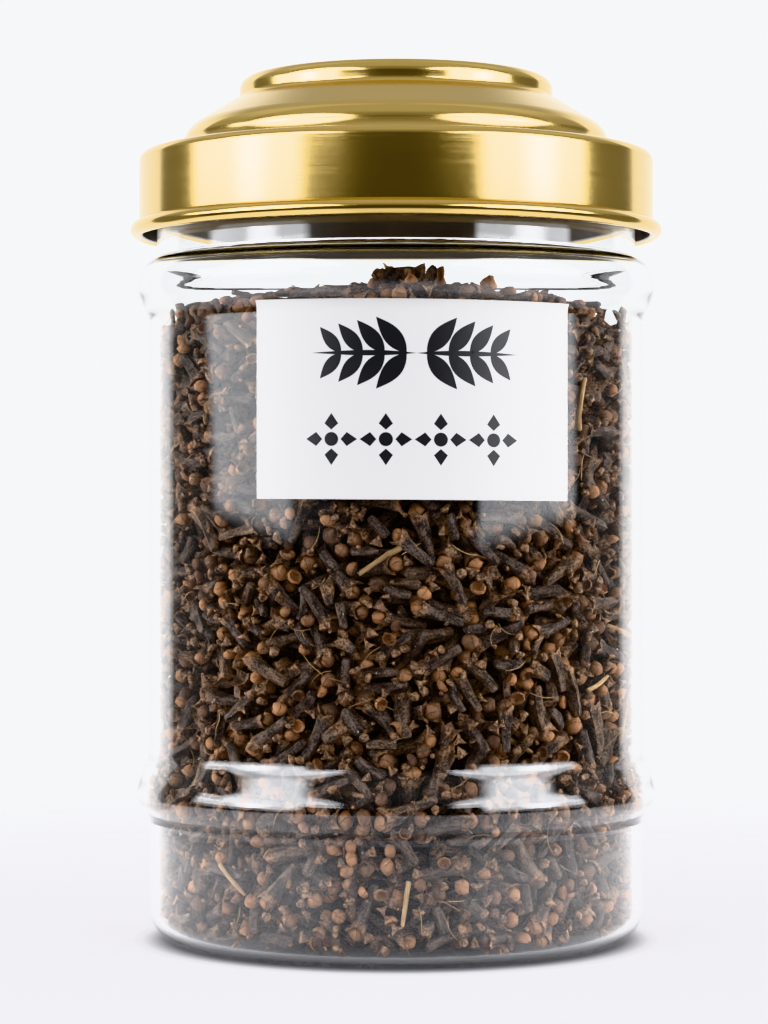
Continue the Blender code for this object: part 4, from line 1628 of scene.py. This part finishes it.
def studio_world(background):
    """Two large soft lights at the sides, a dark room in front and a bright wall behind the jar.

    The camera sees the plain background; reflections and the light on the object come from the studio.
    Angles are in degrees: around is 0 in front of the label and grows to the right, and height is 0 at
    the horizon.
    """
    world = bpy.data.worlds.new("studio")
    world.use_nodes = True
    nodes = Nodes(world.node_tree)
    x, y, z = nodes.parts(nodes.add("ShaderNodeTexCoord", None, None, "Generated"))
    around = nodes.maths("ARCTAN2", x, 0.0 - y) * math.degrees(1.0)
    height = nodes.maths("ARCSINE", z) * math.degrees(1.0)
    side = abs(around)
    above = (height - (side - 50.0) * 0.012).rising(-0.75, -0.1)
    upper = height.rising(15.0, 17.0)
    narrowing = height.rising(5.0, 0.5) * 6.5
    left_box = around.between(-99.5 + narrowing, -43.0 - narrowing, 3.5)
    low_boxes = left_box + around.between(38.5, 90.5, 2.5)
    oval = ((side - 55.0) / 32.0) ** 2.0 + ((height - 12.0) / 24.0) ** 2.0
    middles = around.between(-70.0, -64.0, 9.0) + around.between(63.0, 70.0, 9.0)
    low_boxes = low_boxes * (2.8 + height.rising(5.6, 6.6) * (5.0 + middles * 32.0))
    low_boxes = low_boxes + around.between(-52.0, -28.0, 14.0) * 0.3
    lights = low_boxes * (1.0 - upper) * above + oval.rising(1.15, 0.8) * upper * 7.6
    wall = side.rising(127.0, 131.0) * 1.55 * height.rising(48.0, 16.0)
    flanks = side.between(94.0, 128.0, 2.0) * 0.16
    room = height.rising(12.0, 20.0) * 0.45 + height.rising(26.0, 52.0) * 0.55
    room = nodes.mix(room, (0.066, 0.061, 0.056), (0.52, 0.52, 0.52))
    cool = nodes.mix(lights * 0.025, (0.0, 0.0, 0.0), (38.8, 39.4, 41.2))
    white = nodes.mix((wall + flanks) * 0.1, (0.0, 0.0, 0.0), (9.95, 10.0, 10.2))
    seen = nodes.vector("ADD", nodes.vector("ADD", room, cool), white)
    studio = nodes.add("ShaderNodeBackground", None, {"Color": seen, "Strength": 1.0})
    plain = nodes.add("ShaderNodeBackground", None, {"Color": (*background, 1.0), "Strength": 2.0})
    direct = nodes.add("ShaderNodeLightPath", None, None, "Is Camera Ray")
    unmirrored = 1.0 - nodes.maths("MINIMUM", direct.output("Glossy Depth"), 1.0)
    through = direct.output("Is Transmission Ray") * side.rising(58.0, 84.0) * unmirrored
    through = nodes.maths("MAXIMUM", direct, through)
    both = nodes.add("ShaderNodeMixShader", None, {0: through, 1: studio, 2: plain})
    nodes.add("ShaderNodeOutputWorld", None, {"Surface": both})
    return world


def floor_mesh(radius, rings=24, steps=96):
    """A flat disc on z = 0."""
    points = [(0.0, 0.0, 0.0)]
    faces = []
    for ring in range(1, rings + 1):
        for step in range(steps):
            turn = step * math.tau / steps
            reach = radius * (ring / rings) ** 1.5
            points.append((reach * math.cos(turn), reach * math.sin(turn), 0.0))
    for step in range(steps):
        after = (step + 1) % steps
        faces.append((0, 1 + step, 1 + after))
        for ring in range(rings - 1):
            low, high = 1 + ring * steps, 1 + (ring + 1) * steps
            faces.append((low + step, high + step, high + after, low + after))
    mesh = bpy.data.meshes.new("floor")
    mesh.from_pydata(points, [], faces)
    return mesh


LAMP_SIZE = (0.9, 0.22)
LAMP_PLACE = Vector((1.14, 0.37, 0.14))
LAMP_AIM = Vector((0.0, 0.0, 0.09))


def side_lamp(name, stage, side):
    """A low strip of light beside the jar that lights the filling but isn't mirrored in glass or metal."""
    strip = bpy.data.lights.new(name, "AREA")
    strip.shape = "RECTANGLE"
    strip.size, strip.size_y = LAMP_SIZE
    strip.energy = stage.side_light
    lamp = plain_object(name, strip)
    lamp.location = (LAMP_PLACE.x * side, LAMP_PLACE.y, LAMP_PLACE.z)
    lamp.rotation_euler = (LAMP_AIM - lamp.location).to_track_quat("-Z", "Y").to_euler()
    for ray in ("camera", "glossy", "transmission"):
        setattr(lamp, "visible_" + ray, False)


class CLOVEJAR_OT_stage(Builder, Operator):
    """Set up the pale floor, the studio light and the camera"""

    bl_idname = "clovejar.stage"
    bl_label = "Floor, Light and Camera"

    def build(self, settings):
        stage = settings.stage
        scene = bpy.context.scene
        floor = plain_object("floor", floor_mesh(stage.floor_radius))
        floor.data.materials.append(kept_finish("white_floor", white_floor, stage))
        scene.world = studio_world(stage.background)
        for name, side in (("left_lamp", -1.0), ("right_lamp", 1.0)):
            side_lamp(name, stage, side)
        scene.view_settings.view_transform = "Khronos PBR Neutral"
        lens = bpy.data.cameras.new("camera")
        lens.lens = stage.lens
        lens.sensor_width = 36.0
        lens.clip_start, lens.clip_end = 0.01, 20.0
        camera = plain_object("camera", lens)
        camera.location = (stage.camera_side, -stage.camera_distance, stage.camera_height)
        camera.rotation_euler = (math.radians(90), 0.0, 0.0)
        scene.camera = camera


OPERATORS = (
    CLOVEJAR_OT_glass_jar,
    CLOVEJAR_OT_gold_lid,
    CLOVEJAR_OT_paper_label,
    CLOVEJAR_OT_heap_core,
    CLOVEJAR_OT_whole_cloves,
    CLOVEJAR_OT_broken_cloves,
    CLOVEJAR_OT_loose_buds,
    CLOVEJAR_OT_scraps,
    CLOVEJAR_OT_stage,
)


class CLOVEJAR_PT_panel(Panel):
    """The jar's settings and the buttons that build its pieces"""

    bl_idname = "CLOVEJAR_PT_panel"
    bl_label = "Clove Jar"
    bl_space_type = "VIEW_3D"
    bl_region_type = "UI"
    bl_category = "Clove Jar"

    def draw(self, context):
        settings = context.scene.clove_jar
        for name in ("glass", "lid", "label", "cloves", "stage"):
            group = getattr(settings, name)
            box = self.layout.box()
            box.label(text=name.capitalize())
            for item in group.bl_rna.properties:
                if item.identifier not in ("rna_type", "name"):
                    box.prop(group, item.identifier)
        for operator in OPERATORS:
            self.layout.operator(operator.bl_idname)


CLASSES = (
    GlassSettings,
    LidSettings,
    LabelSettings,
    CloveSettings,
    StageSettings,
    CloveJarSettings,
    *OPERATORS,
    CLOVEJAR_PT_panel,
)


def register():
    for made in CLASSES:
        bpy.utils.register_class(made)
    bpy.types.Scene.clove_jar = PointerProperty(type=CloveJarSettings)


def unregister():
    del bpy.types.Scene.clove_jar
    for made in reversed(CLASSES):
        bpy.utils.unregister_class(made)


def main():
    for name in ("Cube", "Light", "Camera"):
        startup = bpy.data.objects.get(name)
        if startup is not None:
            bpy.data.objects.remove(startup, do_unlink=True)
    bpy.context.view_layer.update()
    register()
    for operator in OPERATORS:
        group, name = operator.bl_idname.split(".")
        getattr(getattr(bpy.ops, group), name)()


if __name__ == "__main__":
    main()
